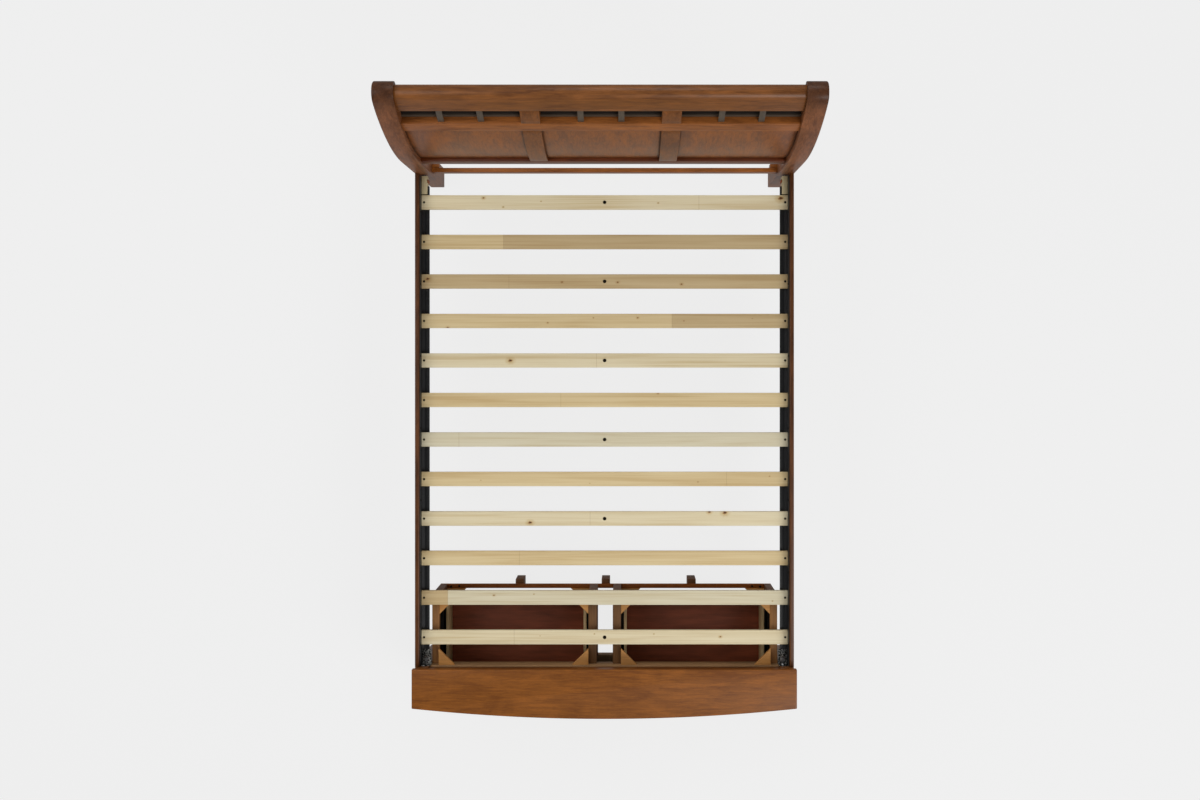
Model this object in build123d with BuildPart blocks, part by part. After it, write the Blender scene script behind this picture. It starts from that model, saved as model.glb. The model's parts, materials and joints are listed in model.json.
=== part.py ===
from build123d import *
import math
import os

# Queen-size storage bed: curved sleigh headboard, slatted deck on steel ledges, and two
# bow-fronted drawers on ball-bearing slides in a storage unit at the foot.
#
# Millimetres. X runs across the bed, +Y towards the head, +Z up. The origin is on the floor,
# in the middle of the space that the whole bed takes up.

os.makedirs("parts", exist_ok=True)

# Mattress and the opening that takes it
mattress_width = 1524
mattress_length = 2032
mattress_side_gap = 10
mattress_end_gap = 28

# Heights above the floor that the bed is built to
headboard_height = 1480
footboard_height = 545
rail_top = 500
deck_height = 450

# Headboard posts, whose front face stands upright and then sweeps back in an arc
post_foot_width = 63
post_flare = 14
post_proud = 1
post_depth = 84
post_edge_chamfer = 4
spring_height = 820
sweep_radius = 1700

# Headboard frame between the posts, as depths behind the posts' front face
frame_setback = 12
frame_depth = 50
crest_depth = 60
crest_drop = 12
crest_rail_height = 93
slot_row_height = 90
mid_rail_height = 59
bottom_rail_top = 770
bottom_rail_height = 83
stile_width = 70
stile_centre = 256
panel_setback = 14
panel_thickness = 10
groove_depth = 8
tongue_play = 0.5

# Slot row under the crest rail, with its steel bars
slot_depth = 28
slot_back_thickness = 8
slot_bar_width = 22
slot_bar_thickness = 5
slot_bar_setback = 12
slot_strip_depth = 7
slot_strip_height = 10

# Stretcher between the headboard legs
stretcher_low = 376
stretcher_top = 430
stretcher_thickness = 18
stretcher_setback = 9
stretcher_edge_radius = 2

# Side rails and the steel ledges that carry the slats
rail_thickness = 18
rail_height = 230
rail_edge_radius = 4
ledge_width = 34
ledge_sheet = 2.5
ledge_upstand = 58
ledge_lip = 6
ledge_screw_count = 7
ledge_screw_rise = 40
ledge_screw_margin = 90
cleat_length = 68
cleat_thickness = 24
cleat_height = 140
cleat_drop = 0.5

# Slats
slat_count = 12
slat_width = 60
slat_thickness = 19
slat_end_play = 1
slat_pitch = 166.1
slat_edge_chamfer = 1.2
slat_screw_inset = 12

# Fasteners. Small shanks, heads and holes have few sides, as there are many of them.
fastener_sides = 8
screw_shank = 4
screw_head = 8
screw_head_height = 2.4
screw_reach = 14
centre_bolt_shank = 8
centre_bolt_head = 13
centre_bolt_head_height = 3
centre_bolt_stud = 28
centre_bolt_washer = 20
washer_thickness = 1.6
nut_width = 13
nut_height = 6.5
cleat_bolt_shank = 8
cleat_bolt_head = 16
cleat_bolt_head_height = 5
cleat_bolt_reach = 12
cleat_bolt_spacing = 70
fit_gap = 0.2

# Zinc-plated brackets between the ledges and the footboard
bracket_width = 38
bracket_length = 64
bracket_sheet = 3
bracket_upstand = 40
bracket_washer = 19
bracket_reach = 8
bracket_bolt_shank = 8
bracket_bolt_head = 13
bracket_bolt_head_height = 5
bracket_bolt_inset = 19
bracket_lag_reach = 30

# Footboard with its bow-fronted top
slab_thickness = 30
slab_side_overhang = 5
slab_front_overhang = 26
slab_end_depth = 163
slab_bow = 42
slab_edge_radius = 8
slab_low_edge_chamfer = 4
slab_corner_radius = 10
foot_post_width = 56
foot_front_post_depth = 50
foot_rear_post_depth = 40
foot_post_edge_chamfer = 2.5
end_panel_thickness = 14
end_panel_setback = 8
end_panel_low = 90
front_board = 22
apron_low = 372
foot_rail_top = 118
foot_rail_low = 55
foot_rail_arch = 24
foot_rail_arch_margin = 60
centre_stile_half = 34
back_board = 18
back_rail_setback = 4
case_top_rail_top = 445
case_top_rail_low = 376
case_low_rail_height = 60
case_low_rail_setback = 18
case_low_rail_depth = 32

# Storage unit behind the footboard
base_top = 143
base_thickness = 18
base_rail_depth = 18
base_reach = 295
unit_top = 420
unit_top_thickness = 30
unit_top_reach = 306
unit_half_gap = 34
unit_side_gap = 6
divider_width = 34.5
outer_rail_width = 30
rear_post_depth = 26
corner_block_leg = 68
upper_block_drop = 3
upper_block_thickness = 20
rear_leg_section = 30
rear_leg_spacing = 380
rear_leg_setback = 19
slide_board_height = 100
slide_board_thickness = 18
slide_board_front_margin = 12
centre_block_overlap = 40

# Drawers
drawer_floor_gap = 3
drawer_side_height = 139
drawer_side_thickness = 12
drawer_rear_clearance = 26
drawer_panel_thickness = 6
drawer_panel_rise = 4
drawer_panel_groove = 6
front_reveal = 2
front_low_reveal = 4
front_thickness = 20
front_edge_chamfer = 3
knob_spacing = 340
knob_height = 245
knob_length = 25
knob_head = 32
knob_neck = 13
knob_base = 20
knob_face = 20
knob_neck_start = 5
knob_neck_end = 10
knob_rim_start = 16
knob_rim_end = 21

# Ball-bearing slides
slide_length = 350
slide_rear_inset = 13
slide_thickness = 12.7
slide_height = 45
slide_sheet = 1.2
slide_race = 3.3
slide_race_play = 0.15
slide_outer_depth = 9.5
slide_middle_web = 2.6
slide_middle_mouth = 10.5
slide_inner_mouth = 5.5
slide_rise = 70
ball_cage_length = 120
ball_cage_width = 4
ball_cage_inset = 5

# Places worked out from the sizes above
opening_half = mattress_width / 2 + mattress_side_gap
opening_length = mattress_length + mattress_end_gap
rail_face = opening_half + rail_thickness
post_outer = rail_face + post_proud
post_inner = post_outer - post_foot_width
post_top_width = post_foot_width + post_flare

crest_height = headboard_height - crest_drop
crest_low = crest_height - crest_rail_height
mid_rail_top = crest_low - slot_row_height
mid_rail_low = mid_rail_top - mid_rail_height
bottom_rail_low = bottom_rail_top - bottom_rail_height

crown_radius = post_depth / 2
crown_centre_height = headboard_height - crown_radius
crown_turn = math.asin((crown_centre_height - spring_height) / (sweep_radius - crown_radius))
headboard_reach = sweep_radius - (sweep_radius - crown_radius) * math.cos(crown_turn) + crown_radius
footboard_reach = slab_end_depth + slab_bow
overall_length = headboard_reach + opening_length + footboard_reach
head_plane = overall_length / 2 - headboard_reach
foot_plane = head_plane - opening_length
sweep_centre_y = head_plane + sweep_radius

frame_back = frame_setback + frame_depth
panel_front = frame_setback + panel_setback
panel_back = panel_front + panel_thickness
slot_back_front = frame_setback + slot_depth
bays = (
    (-post_inner, -stile_centre - stile_width / 2),
    (-stile_centre + stile_width / 2, stile_centre - stile_width / 2),
    (stile_centre + stile_width / 2, post_inner),
)

slat_under = deck_height - slat_thickness
ledge_under = slat_under - ledge_sheet
ledge_inner = opening_half - ledge_width
slat_half = opening_half - ledge_sheet - slat_end_play
slat_screw_x = slat_half - slat_screw_inset
deck_middle = (head_plane + foot_plane) / 2

slab_half = rail_face + slab_side_overhang
slab_front = foot_plane - footboard_reach
bow_radius = (slab_half**2 + slab_bow**2) / (2 * slab_bow)
bow_centre_y = slab_front + bow_radius
case_bow_radius = bow_radius - slab_front_overhang
slab_under = footboard_height - slab_thickness
foot_post_inner = rail_face - foot_post_width
foot_front_post_back = foot_plane - slab_end_depth + slab_front_overhang + foot_front_post_depth
case_low_rail_back = foot_plane - case_low_rail_setback

bay_inner = unit_half_gap + divider_width
unit_outer = foot_post_inner - unit_side_gap
bay_outer = unit_outer - outer_rail_width
base_rear = foot_plane + base_reach
unit_top_rear = foot_plane + unit_top_reach
rear_post_front = base_rear - rear_post_depth

drawer_inner = bay_inner + slide_thickness
drawer_outer = bay_outer - slide_thickness
drawer_middle = (drawer_inner + drawer_outer) / 2
drawer_low = base_top + drawer_floor_gap
drawer_rear = base_rear - drawer_rear_clearance
slide_middle_height = drawer_low + slide_rise
slide_rear = drawer_rear - slide_rear_inset
slide_board_front = slide_rear - slide_length - slide_board_front_margin
front_back_radius = case_bow_radius - front_thickness
front_inner = centre_stile_half + front_reveal
front_outer = foot_post_inner - front_reveal


def finish(piece, name):
    """Name a finished piece and write it to its own file."""
    piece.label = name
    export_step(piece, f"parts/{name}.step")


def sweep_point(depth, along):
    """Point (y, z) at a depth behind the posts' front face, at a distance along its curve."""
    if along <= 0:
        return (head_plane + depth, spring_height + along)
    turn = along / sweep_radius
    radius = sweep_radius - depth
    return (sweep_centre_y - radius * math.cos(turn), spring_height + radius * math.sin(turn))


def along_at(height):
    """Distance along the posts' front curve, from its spring line, to a height."""
    if height <= spring_height:
        return height - spring_height
    return sweep_radius * math.asin((height - spring_height) / sweep_radius)


def draw_face_line(depth, low, high):
    """Line of one face of a board that follows the headboard's curve."""
    if low < 0:
        Line(sweep_point(depth, low), sweep_point(depth, min(high, 0)))
    if high > 0:
        start = math.degrees(max(low, 0) / sweep_radius)
        turn = math.degrees(high / sweep_radius) - start
        CenterArc((sweep_centre_y, spring_height), sweep_radius - depth, 180 - start, -turn)


def board_section(front, back, low, high, x):
    """Section, at x, of a board that follows the curve between two depths, with square ends."""
    with BuildSketch(Plane.YZ.offset(x)) as section:
        with BuildLine():
            draw_face_line(front, low, high)
            draw_face_line(back, low, high)
            Line(sweep_point(front, low), sweep_point(back, low))
            Line(sweep_point(front, high), sweep_point(back, high))
        make_face()
    return section.sketch


def rounded_section(front, depth, low, top, x):
    """Section, at x, of a piece that follows the curve and ends in a full round at a height."""
    radius = depth / 2
    turn = math.asin((top - radius - spring_height) / (sweep_radius - front - radius))
    high = turn * sweep_radius
    middle_y, middle_z = sweep_point(front + radius, high)
    crown = (middle_y + radius * math.sin(turn), middle_z + radius * math.cos(turn))
    with BuildSketch(Plane.YZ.offset(x)) as section:
        with BuildLine():
            draw_face_line(front, low, high)
            draw_face_line(front + depth, low, high)
            Line(sweep_point(front, low), sweep_point(front + depth, low))
            ThreePointArc(sweep_point(front, high), crown, sweep_point(front + depth, high))
        make_face()
    return section.sketch


def panel_section(x, margin):
    """Section, at x, of a panel that reaches past its opening by a margin, above and below."""
    low = along_at(bottom_rail_top) - margin
    high = along_at(mid_rail_low) + margin
    return board_section(panel_front, panel_back, low, high, x)


# Headboard posts, each grooved on its inner face for the end of a panel
def headboard_post(side):
    """Post whose outer face leans out from foot to top, with a full round at its top."""
    foot_plane_x = side * post_outer
    flare_plane = Plane(origin=(foot_plane_x, 0, 0), z_dir=(side, 0, -post_flare / headboard_height))
    with BuildPart() as post:
        extrude(rounded_section(0, post_depth, -spring_height, headboard_height, side * post_inner),
                amount=side * post_top_width)
        split(bisect_by=flare_plane, keep=Keep.BOTTOM)
        outer_face = post.faces().sort_by(Axis.X)[-1 if side > 0 else 0]
        chamfer(outer_face.edges().sort_by(Axis.Z)[1:], post_edge_chamfer)
        extrude(panel_section(side * post_inner, groove_depth), amount=side * groove_depth,
                mode=Mode.SUBTRACT)
    return post.part


finish(headboard_post(-1), "headboard_post_left")
finish(headboard_post(1), "headboard_post_right")


# Rails of the headboard frame, between the posts
with BuildPart() as crest_rail:
    extrude(rounded_section(frame_setback, crest_depth, along_at(crest_low), crest_height, -post_inner),
            amount=2 * post_inner)
finish(crest_rail.part, "crest_rail")

with BuildPart() as mid_rail:
    extrude(board_section(frame_setback, frame_back, along_at(mid_rail_low), along_at(mid_rail_top),
                          -post_inner), amount=2 * post_inner)
    for bay_left, bay_right in bays:
        extrude(panel_section(bay_left - groove_depth, groove_depth),
                amount=bay_right - bay_left + 2 * groove_depth, mode=Mode.SUBTRACT)
finish(mid_rail.part, "mid_rail")

with BuildPart() as headboard_bottom_rail:
    extrude(board_section(frame_setback, frame_back, along_at(bottom_rail_low),
                          along_at(bottom_rail_top), -post_inner), amount=2 * post_inner)
    for bay_left, bay_right in bays:
        extrude(panel_section(bay_left - groove_depth, groove_depth),
                amount=bay_right - bay_left + 2 * groove_depth, mode=Mode.SUBTRACT)
finish(headboard_bottom_rail.part, "headboard_bottom_rail")

# Stiles: short ones in the slot row, and long ones with a groove down each edge
with BuildPart() as headboard_stiles:
    for stile_left in (-stile_centre - stile_width / 2, stile_centre - stile_width / 2):
        extrude(board_section(frame_setback, frame_back, along_at(mid_rail_top),
                              along_at(crest_low), stile_left), amount=stile_width)
        extrude(board_section(frame_setback, frame_back, along_at(bottom_rail_top),
                              along_at(mid_rail_low), stile_left), amount=stile_width)
        for groove_left in (stile_left, stile_left + stile_width - groove_depth):
            extrude(panel_section(groove_left, 0), amount=groove_depth, mode=Mode.SUBTRACT)
finish(headboard_stiles.part, "headboard_stiles")

# Panels, with their edges in the grooves
for (bay_left, bay_right), name in zip(bays, ("panel_left", "panel_centre", "panel_right")):
    with BuildPart() as panel:
        tongue = groove_depth - tongue_play
        extrude(panel_section(bay_left - tongue, tongue), amount=bay_right - bay_left + 2 * tongue)
    finish(panel.part, name)

# Slot row: a dark back in each bay, and the steel strip and bars in front of it
with BuildPart() as slot_backs:
    for bay_left, bay_right in bays:
        extrude(board_section(slot_back_front, slot_back_front + slot_back_thickness,
                              along_at(mid_rail_top), along_at(crest_low), bay_left),
                amount=bay_right - bay_left)
finish(slot_backs.part, "slot_backs")

with BuildPart() as slot_bars:
    bar_front = frame_setback + slot_bar_setback
    strip_low = along_at(mid_rail_top)
    for bay_left, bay_right in bays:
        bay_width = bay_right - bay_left
        extrude(board_section(slot_back_front - slot_strip_depth, slot_back_front, strip_low,
                              strip_low + slot_strip_height, bay_left), amount=bay_width)
        for third in (1, 2):
            bar_left = bay_left + third * bay_width / 3 - slot_bar_width / 2
            extrude(board_section(bar_front, bar_front + slot_bar_thickness, strip_low,
                                  along_at(crest_low), bar_left), amount=slot_bar_width)
finish(slot_bars.part, "slot_bars")


def block(low_corner, high_corner, mode=Mode.ADD):
    """Box between two corners, in the part under construction."""
    size = [high - low for low, high in zip(low_corner, high_corner)]
    middle = [(low + high) / 2 for low, high in zip(low_corner, high_corner)]
    with Locations(Vector(*middle)):
        Box(*size, mode=mode)


def span(side, near, far):
    """The two X values of a piece on one side of the bed, lower one first."""
    return sorted((side * near, side * far))


def peg(seat, radius, low, high, mode=Mode.ADD, taper=0):
    """Few-sided shank, head or hole about a plane's normal, between two heights above it."""
    with BuildSketch(seat.offset(low)) as section:
        RegularPolygon(radius, fastener_sides)
    extrude(section.sketch, amount=high - low, taper=taper, mode=mode)


# Stretcher between the headboard legs
with BuildPart() as headboard_stretcher:
    stretcher_front = head_plane + stretcher_setback
    block((-post_inner, stretcher_front, stretcher_low),
          (post_inner, stretcher_front + stretcher_thickness, stretcher_top))
    fillet(headboard_stretcher.edges().filter_by(Axis.X), stretcher_edge_radius)
finish(headboard_stretcher.part, "headboard_stretcher")


def ledge_screw_seats(side):
    """Seats of the screws that hold a ledge to its rail, facing the middle of the bed."""
    seat_x = side * (opening_half - ledge_sheet)
    seat_z = slat_under + ledge_screw_rise
    first_y = foot_plane + ledge_screw_margin
    step = (head_plane - cleat_length - ledge_screw_margin - first_y) / (ledge_screw_count - 1)
    return [Plane(origin=(seat_x, first_y + step * index, seat_z), z_dir=(-side, 0, 0))
            for index in range(ledge_screw_count)]


def cleat_bolt_seats(side):
    """Seats of the two bolts that hold a head cleat to its rail."""
    seat_x = side * (opening_half - cleat_thickness)
    cleat_middle = slat_under - cleat_drop - cleat_height / 2
    return [Plane(origin=(seat_x, head_plane - cleat_length / 2, cleat_middle + rise),
                  z_dir=(-side, 0, 0)) for rise in (-cleat_bolt_spacing / 2, cleat_bolt_spacing / 2)]


# Side rails, with the holes that their screws and bolts go into
for side, name in ((-1, "side_rail_left"), (1, "side_rail_right")):
    with BuildPart() as side_rail:
        inner, outer = span(side, opening_half, rail_face)
        block((inner, foot_plane, rail_top - rail_height), (outer, head_plane, rail_top))
        fillet(side_rail.edges().filter_by(Axis.Y).group_by(Axis.Z)[-1], rail_edge_radius)
        for seat in ledge_screw_seats(side):
            peg(seat, screw_shank / 2, -screw_reach, 0, Mode.SUBTRACT)
        for seat in cleat_bolt_seats(side):
            peg(seat, cleat_bolt_shank / 2, -cleat_thickness - cleat_bolt_reach, 0, Mode.SUBTRACT)
    finish(side_rail.part, name)


# Places of the slats and of what goes through them. Every other slat has a bolt in its middle,
# and so has the last one.
slat_places = [deck_middle + slat_pitch * ((slat_count - 1) / 2 - index)
               for index in range(slat_count)]
bolted_slats = [*range(0, slat_count - 2, 2), slat_count - 1]
screw_taper = math.degrees(math.atan((screw_head - screw_shank) / 2 / screw_head_height))
bolt_taper = math.degrees(math.atan((centre_bolt_head - centre_bolt_shank) / 2
                                    / centre_bolt_head_height))
cleat_bolt_taper = math.degrees(math.atan((cleat_bolt_head - cleat_bolt_shank) / 2
                                          / cleat_bolt_head_height))
bracket_inner = ledge_inner - bracket_reach
bracket_bolt_x = bracket_inner + bracket_width / 2
bracket_bolt_y = foot_plane + bracket_bolt_inset
bracket_lag_z = slat_under + bracket_sheet + bracket_upstand / 2

# Steel ledges: an angle with a turned-down lip, drilled for the slat screws and the bracket bolt
for side, name in ((-1, "slat_ledge_left"), (1, "slat_ledge_right")):
    with BuildPart() as ledge:
        low_y = foot_plane
        high_y = head_plane - cleat_length
        for near, far, low, high in (
            (ledge_inner, opening_half, ledge_under, slat_under),
            (opening_half - ledge_sheet, opening_half, slat_under, slat_under + ledge_upstand),
            (ledge_inner, ledge_inner + ledge_sheet, ledge_under - ledge_lip, ledge_under),
        ):
            left, right = span(side, near, far)
            block((left, low_y, low), (right, high_y, high))
        for place in slat_places:
            seat = Plane.XY.move(Location((side * slat_screw_x, place, slat_under)))
            peg(seat, screw_shank / 2, -ledge_sheet, 0, Mode.SUBTRACT)
        seat = Plane.XY.move(Location((side * bracket_bolt_x, bracket_bolt_y, slat_under)))
        peg(seat, bracket_bolt_shank / 2, -ledge_sheet, 0, Mode.SUBTRACT)
        for seat in ledge_screw_seats(side):
            peg(seat, screw_shank / 2, -ledge_sheet, 0, Mode.SUBTRACT)
    finish(ledge.part, name)

# Wooden cleats at the rails' head ends, and the bolts through them
with BuildPart() as head_cleats:
    for side in (-1, 1):
        left, right = span(side, opening_half - cleat_thickness, opening_half)
        cleat_top = slat_under - cleat_drop
        block((left, head_plane - cleat_length, cleat_top - cleat_height),
              (right, head_plane, cleat_top))
        for seat in cleat_bolt_seats(side):
            peg(seat, cleat_bolt_shank / 2, -cleat_thickness, 0, Mode.SUBTRACT)
finish(head_cleats.part, "head_cleats")

with BuildPart() as cleat_bolts:
    for seat in cleat_bolt_seats(-1) + cleat_bolt_seats(1):
        peg(seat, cleat_bolt_shank / 2, -cleat_thickness - cleat_bolt_reach, 0)
        peg(seat, cleat_bolt_head / 2, 0, cleat_bolt_head_height, taper=cleat_bolt_taper / 2)
finish(cleat_bolts.part, "cleat_bolts")


def slat_screw_seats(place):
    """Seats of the two screws in a slat's ends, on its top face."""
    return [Plane.XY.move(Location((side * slat_screw_x, place, deck_height))) for side in (-1, 1)]


def sunk_screw(seat, mode=Mode.ADD):
    """Countersunk screw through a slat into the ledge, or the hole for it."""
    peg(seat, screw_shank / 2, -slat_thickness - ledge_sheet, 0, mode)
    with BuildSketch(seat) as head:
        RegularPolygon(screw_head / 2, fastener_sides)
    extrude(head.sketch, amount=-screw_head_height, taper=screw_taper, mode=mode)


# Slats, with a countersunk hole at each end and some with a bolt hole in the middle
for index, place in enumerate(slat_places):
    with BuildPart() as slat:
        block((-slat_half, place - slat_width / 2, slat_under),
              (slat_half, place + slat_width / 2, deck_height))
        chamfer(slat.edges().filter_by(Axis.X), slat_edge_chamfer)
        for seat in slat_screw_seats(place):
            sunk_screw(seat, Mode.SUBTRACT)
        if index in bolted_slats:
            with Locations((0, place, deck_height)):
                Hole(centre_bolt_shank / 2, depth=slat_thickness)
    finish(slat.part, f"slat_{index + 1:02d}")

# Screws: countersunk ones in the slat ends, and pan-headed ones through the ledges' upstands
with BuildPart() as wood_screws:
    for place in slat_places:
        for seat in slat_screw_seats(place):
            sunk_screw(seat)
    for seat in ledge_screw_seats(-1) + ledge_screw_seats(1):
        peg(seat, screw_shank / 2, -screw_reach, 0)
        peg(seat, screw_head / 2, 0, screw_head_height)
finish(wood_screws.part, "wood_screws")

# Bolts in the middle of some slats, each with its washer and nut drawn up tight, and a free
# stud below them for a leg that a buyer adds
with BuildPart() as centre_bolts:
    for place in [slat_places[index] for index in bolted_slats]:
        with Locations((0, place, deck_height)):
            Cylinder(centre_bolt_shank / 2, slat_thickness + centre_bolt_stud,
                     align=(Align.CENTER, Align.CENTER, Align.MAX))
        seat = Plane.XY.move(Location((0, place, deck_height)))
        peg(seat, centre_bolt_head / 2, 0, centre_bolt_head_height, taper=bolt_taper / 2)
        under = Plane.XY.move(Location((0, place, slat_under)))
        peg(under, centre_bolt_washer / 2, -washer_thickness, 0)
        with BuildSketch(under.offset(-washer_thickness)):
            RegularPolygon(nut_width / 2, 6, major_radius=False)
        extrude(amount=-nut_height)
finish(centre_bolts.part, "centre_bolts")

# Zinc-plated brackets that tie the ledges to the footboard, and their bolts
bracket_top = slat_under + bracket_sheet


def bracket_bolt_seat(side):
    """Seat of the bolt through a bracket and the ledge, on the bracket's flat."""
    return Plane.XY.move(Location((side * bracket_bolt_x, bracket_bolt_y, bracket_top)))


def lag_bolt_seat(side):
    """Seat of the lag bolt through a bracket's upstand, on the upstand's face."""
    return Plane(origin=(side * bracket_bolt_x, foot_plane + bracket_sheet, bracket_lag_z),
                 z_dir=(0, 1, 0))


with BuildPart() as rail_brackets:
    for side in (-1, 1):
        left, right = span(side, bracket_inner, bracket_inner + bracket_width)
        block((left, foot_plane, slat_under), (right, foot_plane + bracket_length, bracket_top))
        block((left, foot_plane, slat_under),
              (right, foot_plane + bracket_sheet, bracket_top + bracket_upstand))
        for seat in (bracket_bolt_seat(side), lag_bolt_seat(side)):
            peg(seat, bracket_bolt_shank / 2, -bracket_sheet, 0, Mode.SUBTRACT)
finish(rail_brackets.part, "rail_brackets")

with BuildPart() as bracket_bolts:
    for side in (-1, 1):
        seat = bracket_bolt_seat(side)
        peg(seat, bracket_bolt_shank / 2, -bracket_sheet - ledge_sheet, 0)
        peg(seat, bracket_washer / 2, 0, washer_thickness)
        with BuildSketch(seat.offset(washer_thickness)):
            RegularPolygon(bracket_bolt_head / 2, 6, major_radius=False)
        extrude(amount=bracket_bolt_head_height)
        with BuildSketch(seat.offset(-bracket_sheet - ledge_sheet)):
            RegularPolygon(bracket_bolt_head / 2, 6, major_radius=False)
        extrude(amount=-nut_height)
        lag_seat = lag_bolt_seat(side)
        peg(lag_seat, bracket_bolt_shank / 2, -bracket_sheet - bracket_lag_reach, 0)
        with BuildSketch(lag_seat):
            RegularPolygon(bracket_bolt_head / 2, 6, major_radius=False)
        extrude(amount=bracket_bolt_head_height)
finish(bracket_bolts.part, "bracket_bolts")


def bowed_section(left, right, front_radius, depth, height):
    """Section, at a height, of a board that follows the footboard's bow."""
    with BuildSketch(Plane.XY.offset(height)) as section:
        with Locations((0, bow_centre_y)):
            Circle(front_radius)
            Circle(front_radius - depth, mode=Mode.SUBTRACT)
        with Locations(((left + right) / 2, slab_front + footboard_reach / 2)):
            Rectangle(right - left, footboard_reach, mode=Mode.INTERSECT)
    return section.sketch


def bow_trimmed_section(left, right, rear, front_radius, height):
    """Section, at a height, from a straight rear edge to the footboard's bow."""
    with BuildSketch(Plane.XY.offset(height)) as section:
        with Locations(((left + right) / 2, (rear + slab_front) / 2)):
            Rectangle(right - left, rear - slab_front)
        with Locations((0, bow_centre_y)):
            Circle(front_radius, mode=Mode.INTERSECT)
    return section.sketch


# Footboard top: straight at the back, bowed at the front
with BuildPart() as footboard_top:
    extrude(bow_trimmed_section(-slab_half, slab_half, foot_plane, bow_radius, slab_under),
            amount=slab_thickness)
    fillet(footboard_top.edges().filter_by(Axis.Z), slab_corner_radius)
    fillet(footboard_top.edges().group_by(Axis.Z)[-1], slab_edge_radius)
    chamfer(footboard_top.edges().group_by(Axis.Z)[0], slab_low_edge_chamfer)
finish(footboard_top.part, "footboard_top")

# Footboard ends: a front post, a rear post and a recessed panel between them
for side, name in ((-1, "footboard_end_left"), (1, "footboard_end_right")):
    with BuildPart() as footboard_end:
        left, right = span(side, foot_post_inner, rail_face)
        extrude(bow_trimmed_section(left, right, foot_front_post_back, case_bow_radius, 0),
                amount=slab_under)
        foot_rear_post_front = foot_plane - foot_rear_post_depth
        block((left, foot_rear_post_front, 0), (right, foot_plane, slab_under))
        chamfer(footboard_end.edges().filter_by(Axis.Z), foot_post_edge_chamfer)
        peg(lag_bolt_seat(side), bracket_bolt_shank / 2, -bracket_sheet - bracket_lag_reach, 0,
            Mode.SUBTRACT)
        left, right = span(side, rail_face - end_panel_setback - end_panel_thickness,
                           rail_face - end_panel_setback)
        block((left, foot_front_post_back + fit_gap, end_panel_low),
              (right, foot_rear_post_front - fit_gap, slab_under))
    finish(footboard_end.part, name)

# Bowed boards of the footboard's front: apron over the drawers, rail under them, stile between
with BuildPart() as footboard_apron:
    extrude(bowed_section(-foot_post_inner, foot_post_inner, case_bow_radius, front_board, apron_low),
            amount=slab_under - apron_low)
finish(footboard_apron.part, "footboard_apron")

with BuildPart() as footboard_bottom_rail:
    extrude(bowed_section(-foot_post_inner, foot_post_inner, case_bow_radius, front_board,
                          foot_rail_low), amount=foot_rail_top - foot_rail_low)
    arch_half = foot_post_inner - foot_rail_arch_margin
    arch_radius = (arch_half**2 + foot_rail_arch**2) / (2 * foot_rail_arch)
    with BuildSketch(Plane.XZ.offset(-foot_plane)):
        with Locations((0, foot_rail_low + foot_rail_arch - arch_radius)):
            Circle(arch_radius)
    extrude(amount=footboard_reach, mode=Mode.SUBTRACT)
finish(footboard_bottom_rail.part, "footboard_bottom_rail")

with BuildPart() as footboard_centre_stile:
    extrude(bowed_section(-centre_stile_half, centre_stile_half, case_bow_radius, front_board,
                          foot_rail_top), amount=apron_low - foot_rail_top)
finish(footboard_centre_stile.part, "footboard_centre_stile")

# Boards across the back of the footboard
with BuildPart() as footboard_back_rail:
    back_rail_rear = foot_plane - back_rail_setback
    block((-foot_post_inner, back_rail_rear - back_board, case_top_rail_top),
          (foot_post_inner, back_rail_rear, slab_under))
finish(footboard_back_rail.part, "footboard_back_rail")

with BuildPart() as case_rear_rails:
    block((-foot_post_inner, foot_plane - back_board, case_top_rail_low),
          (foot_post_inner, foot_plane, case_top_rail_top))
    block((-foot_post_inner, case_low_rail_back - case_low_rail_depth, base_top - case_low_rail_height),
          (foot_post_inner, case_low_rail_back, base_top))
finish(case_rear_rails.part, "case_rear_rails")

# Storage unit: an open frame round each drawer bay, at the top and at the base
with BuildPart() as storage_top_frame:
    unit_rail_low = unit_top - unit_top_thickness
    for side in (-1, 1):
        for near, far, rear, front in (
            (unit_half_gap, bay_inner, unit_top_rear, foot_plane),
            (bay_outer, unit_outer, unit_top_rear, foot_plane),
            (bay_inner + fit_gap, bay_outer - fit_gap, unit_top_rear,
             unit_top_rear - outer_rail_width),
        ):
            left, right = span(side, near, far)
            block((left, front, unit_rail_low), (right, rear, unit_top))
finish(storage_top_frame.part, "storage_top_frame")

with BuildPart() as storage_base_frame:
    base_low = base_top - base_thickness
    base_rail_front = base_rear - base_rail_depth
    block((-unit_outer, base_rail_front, base_low), (unit_outer, base_rear, base_top))
    for side in (-1, 1):
        for near, far in ((unit_half_gap, bay_inner), (bay_outer, unit_outer)):
            left, right = span(side, near, far)
            block((left, case_low_rail_back, base_low),
                  (right, base_rail_front - fit_gap, base_top))
finish(storage_base_frame.part, "storage_base_frame")


def corner_block_section(corner_x, corner_y, toward_x, toward_y, height):
    """Triangle that fills the square corner of a frame."""
    with BuildSketch(Plane.XY.offset(height)) as section:
        with BuildLine():
            Polyline((corner_x, corner_y), (corner_x + toward_x * corner_block_leg, corner_y),
                     (corner_x, corner_y + toward_y * corner_block_leg), close=True)
        make_face()
    return section.sketch


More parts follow.
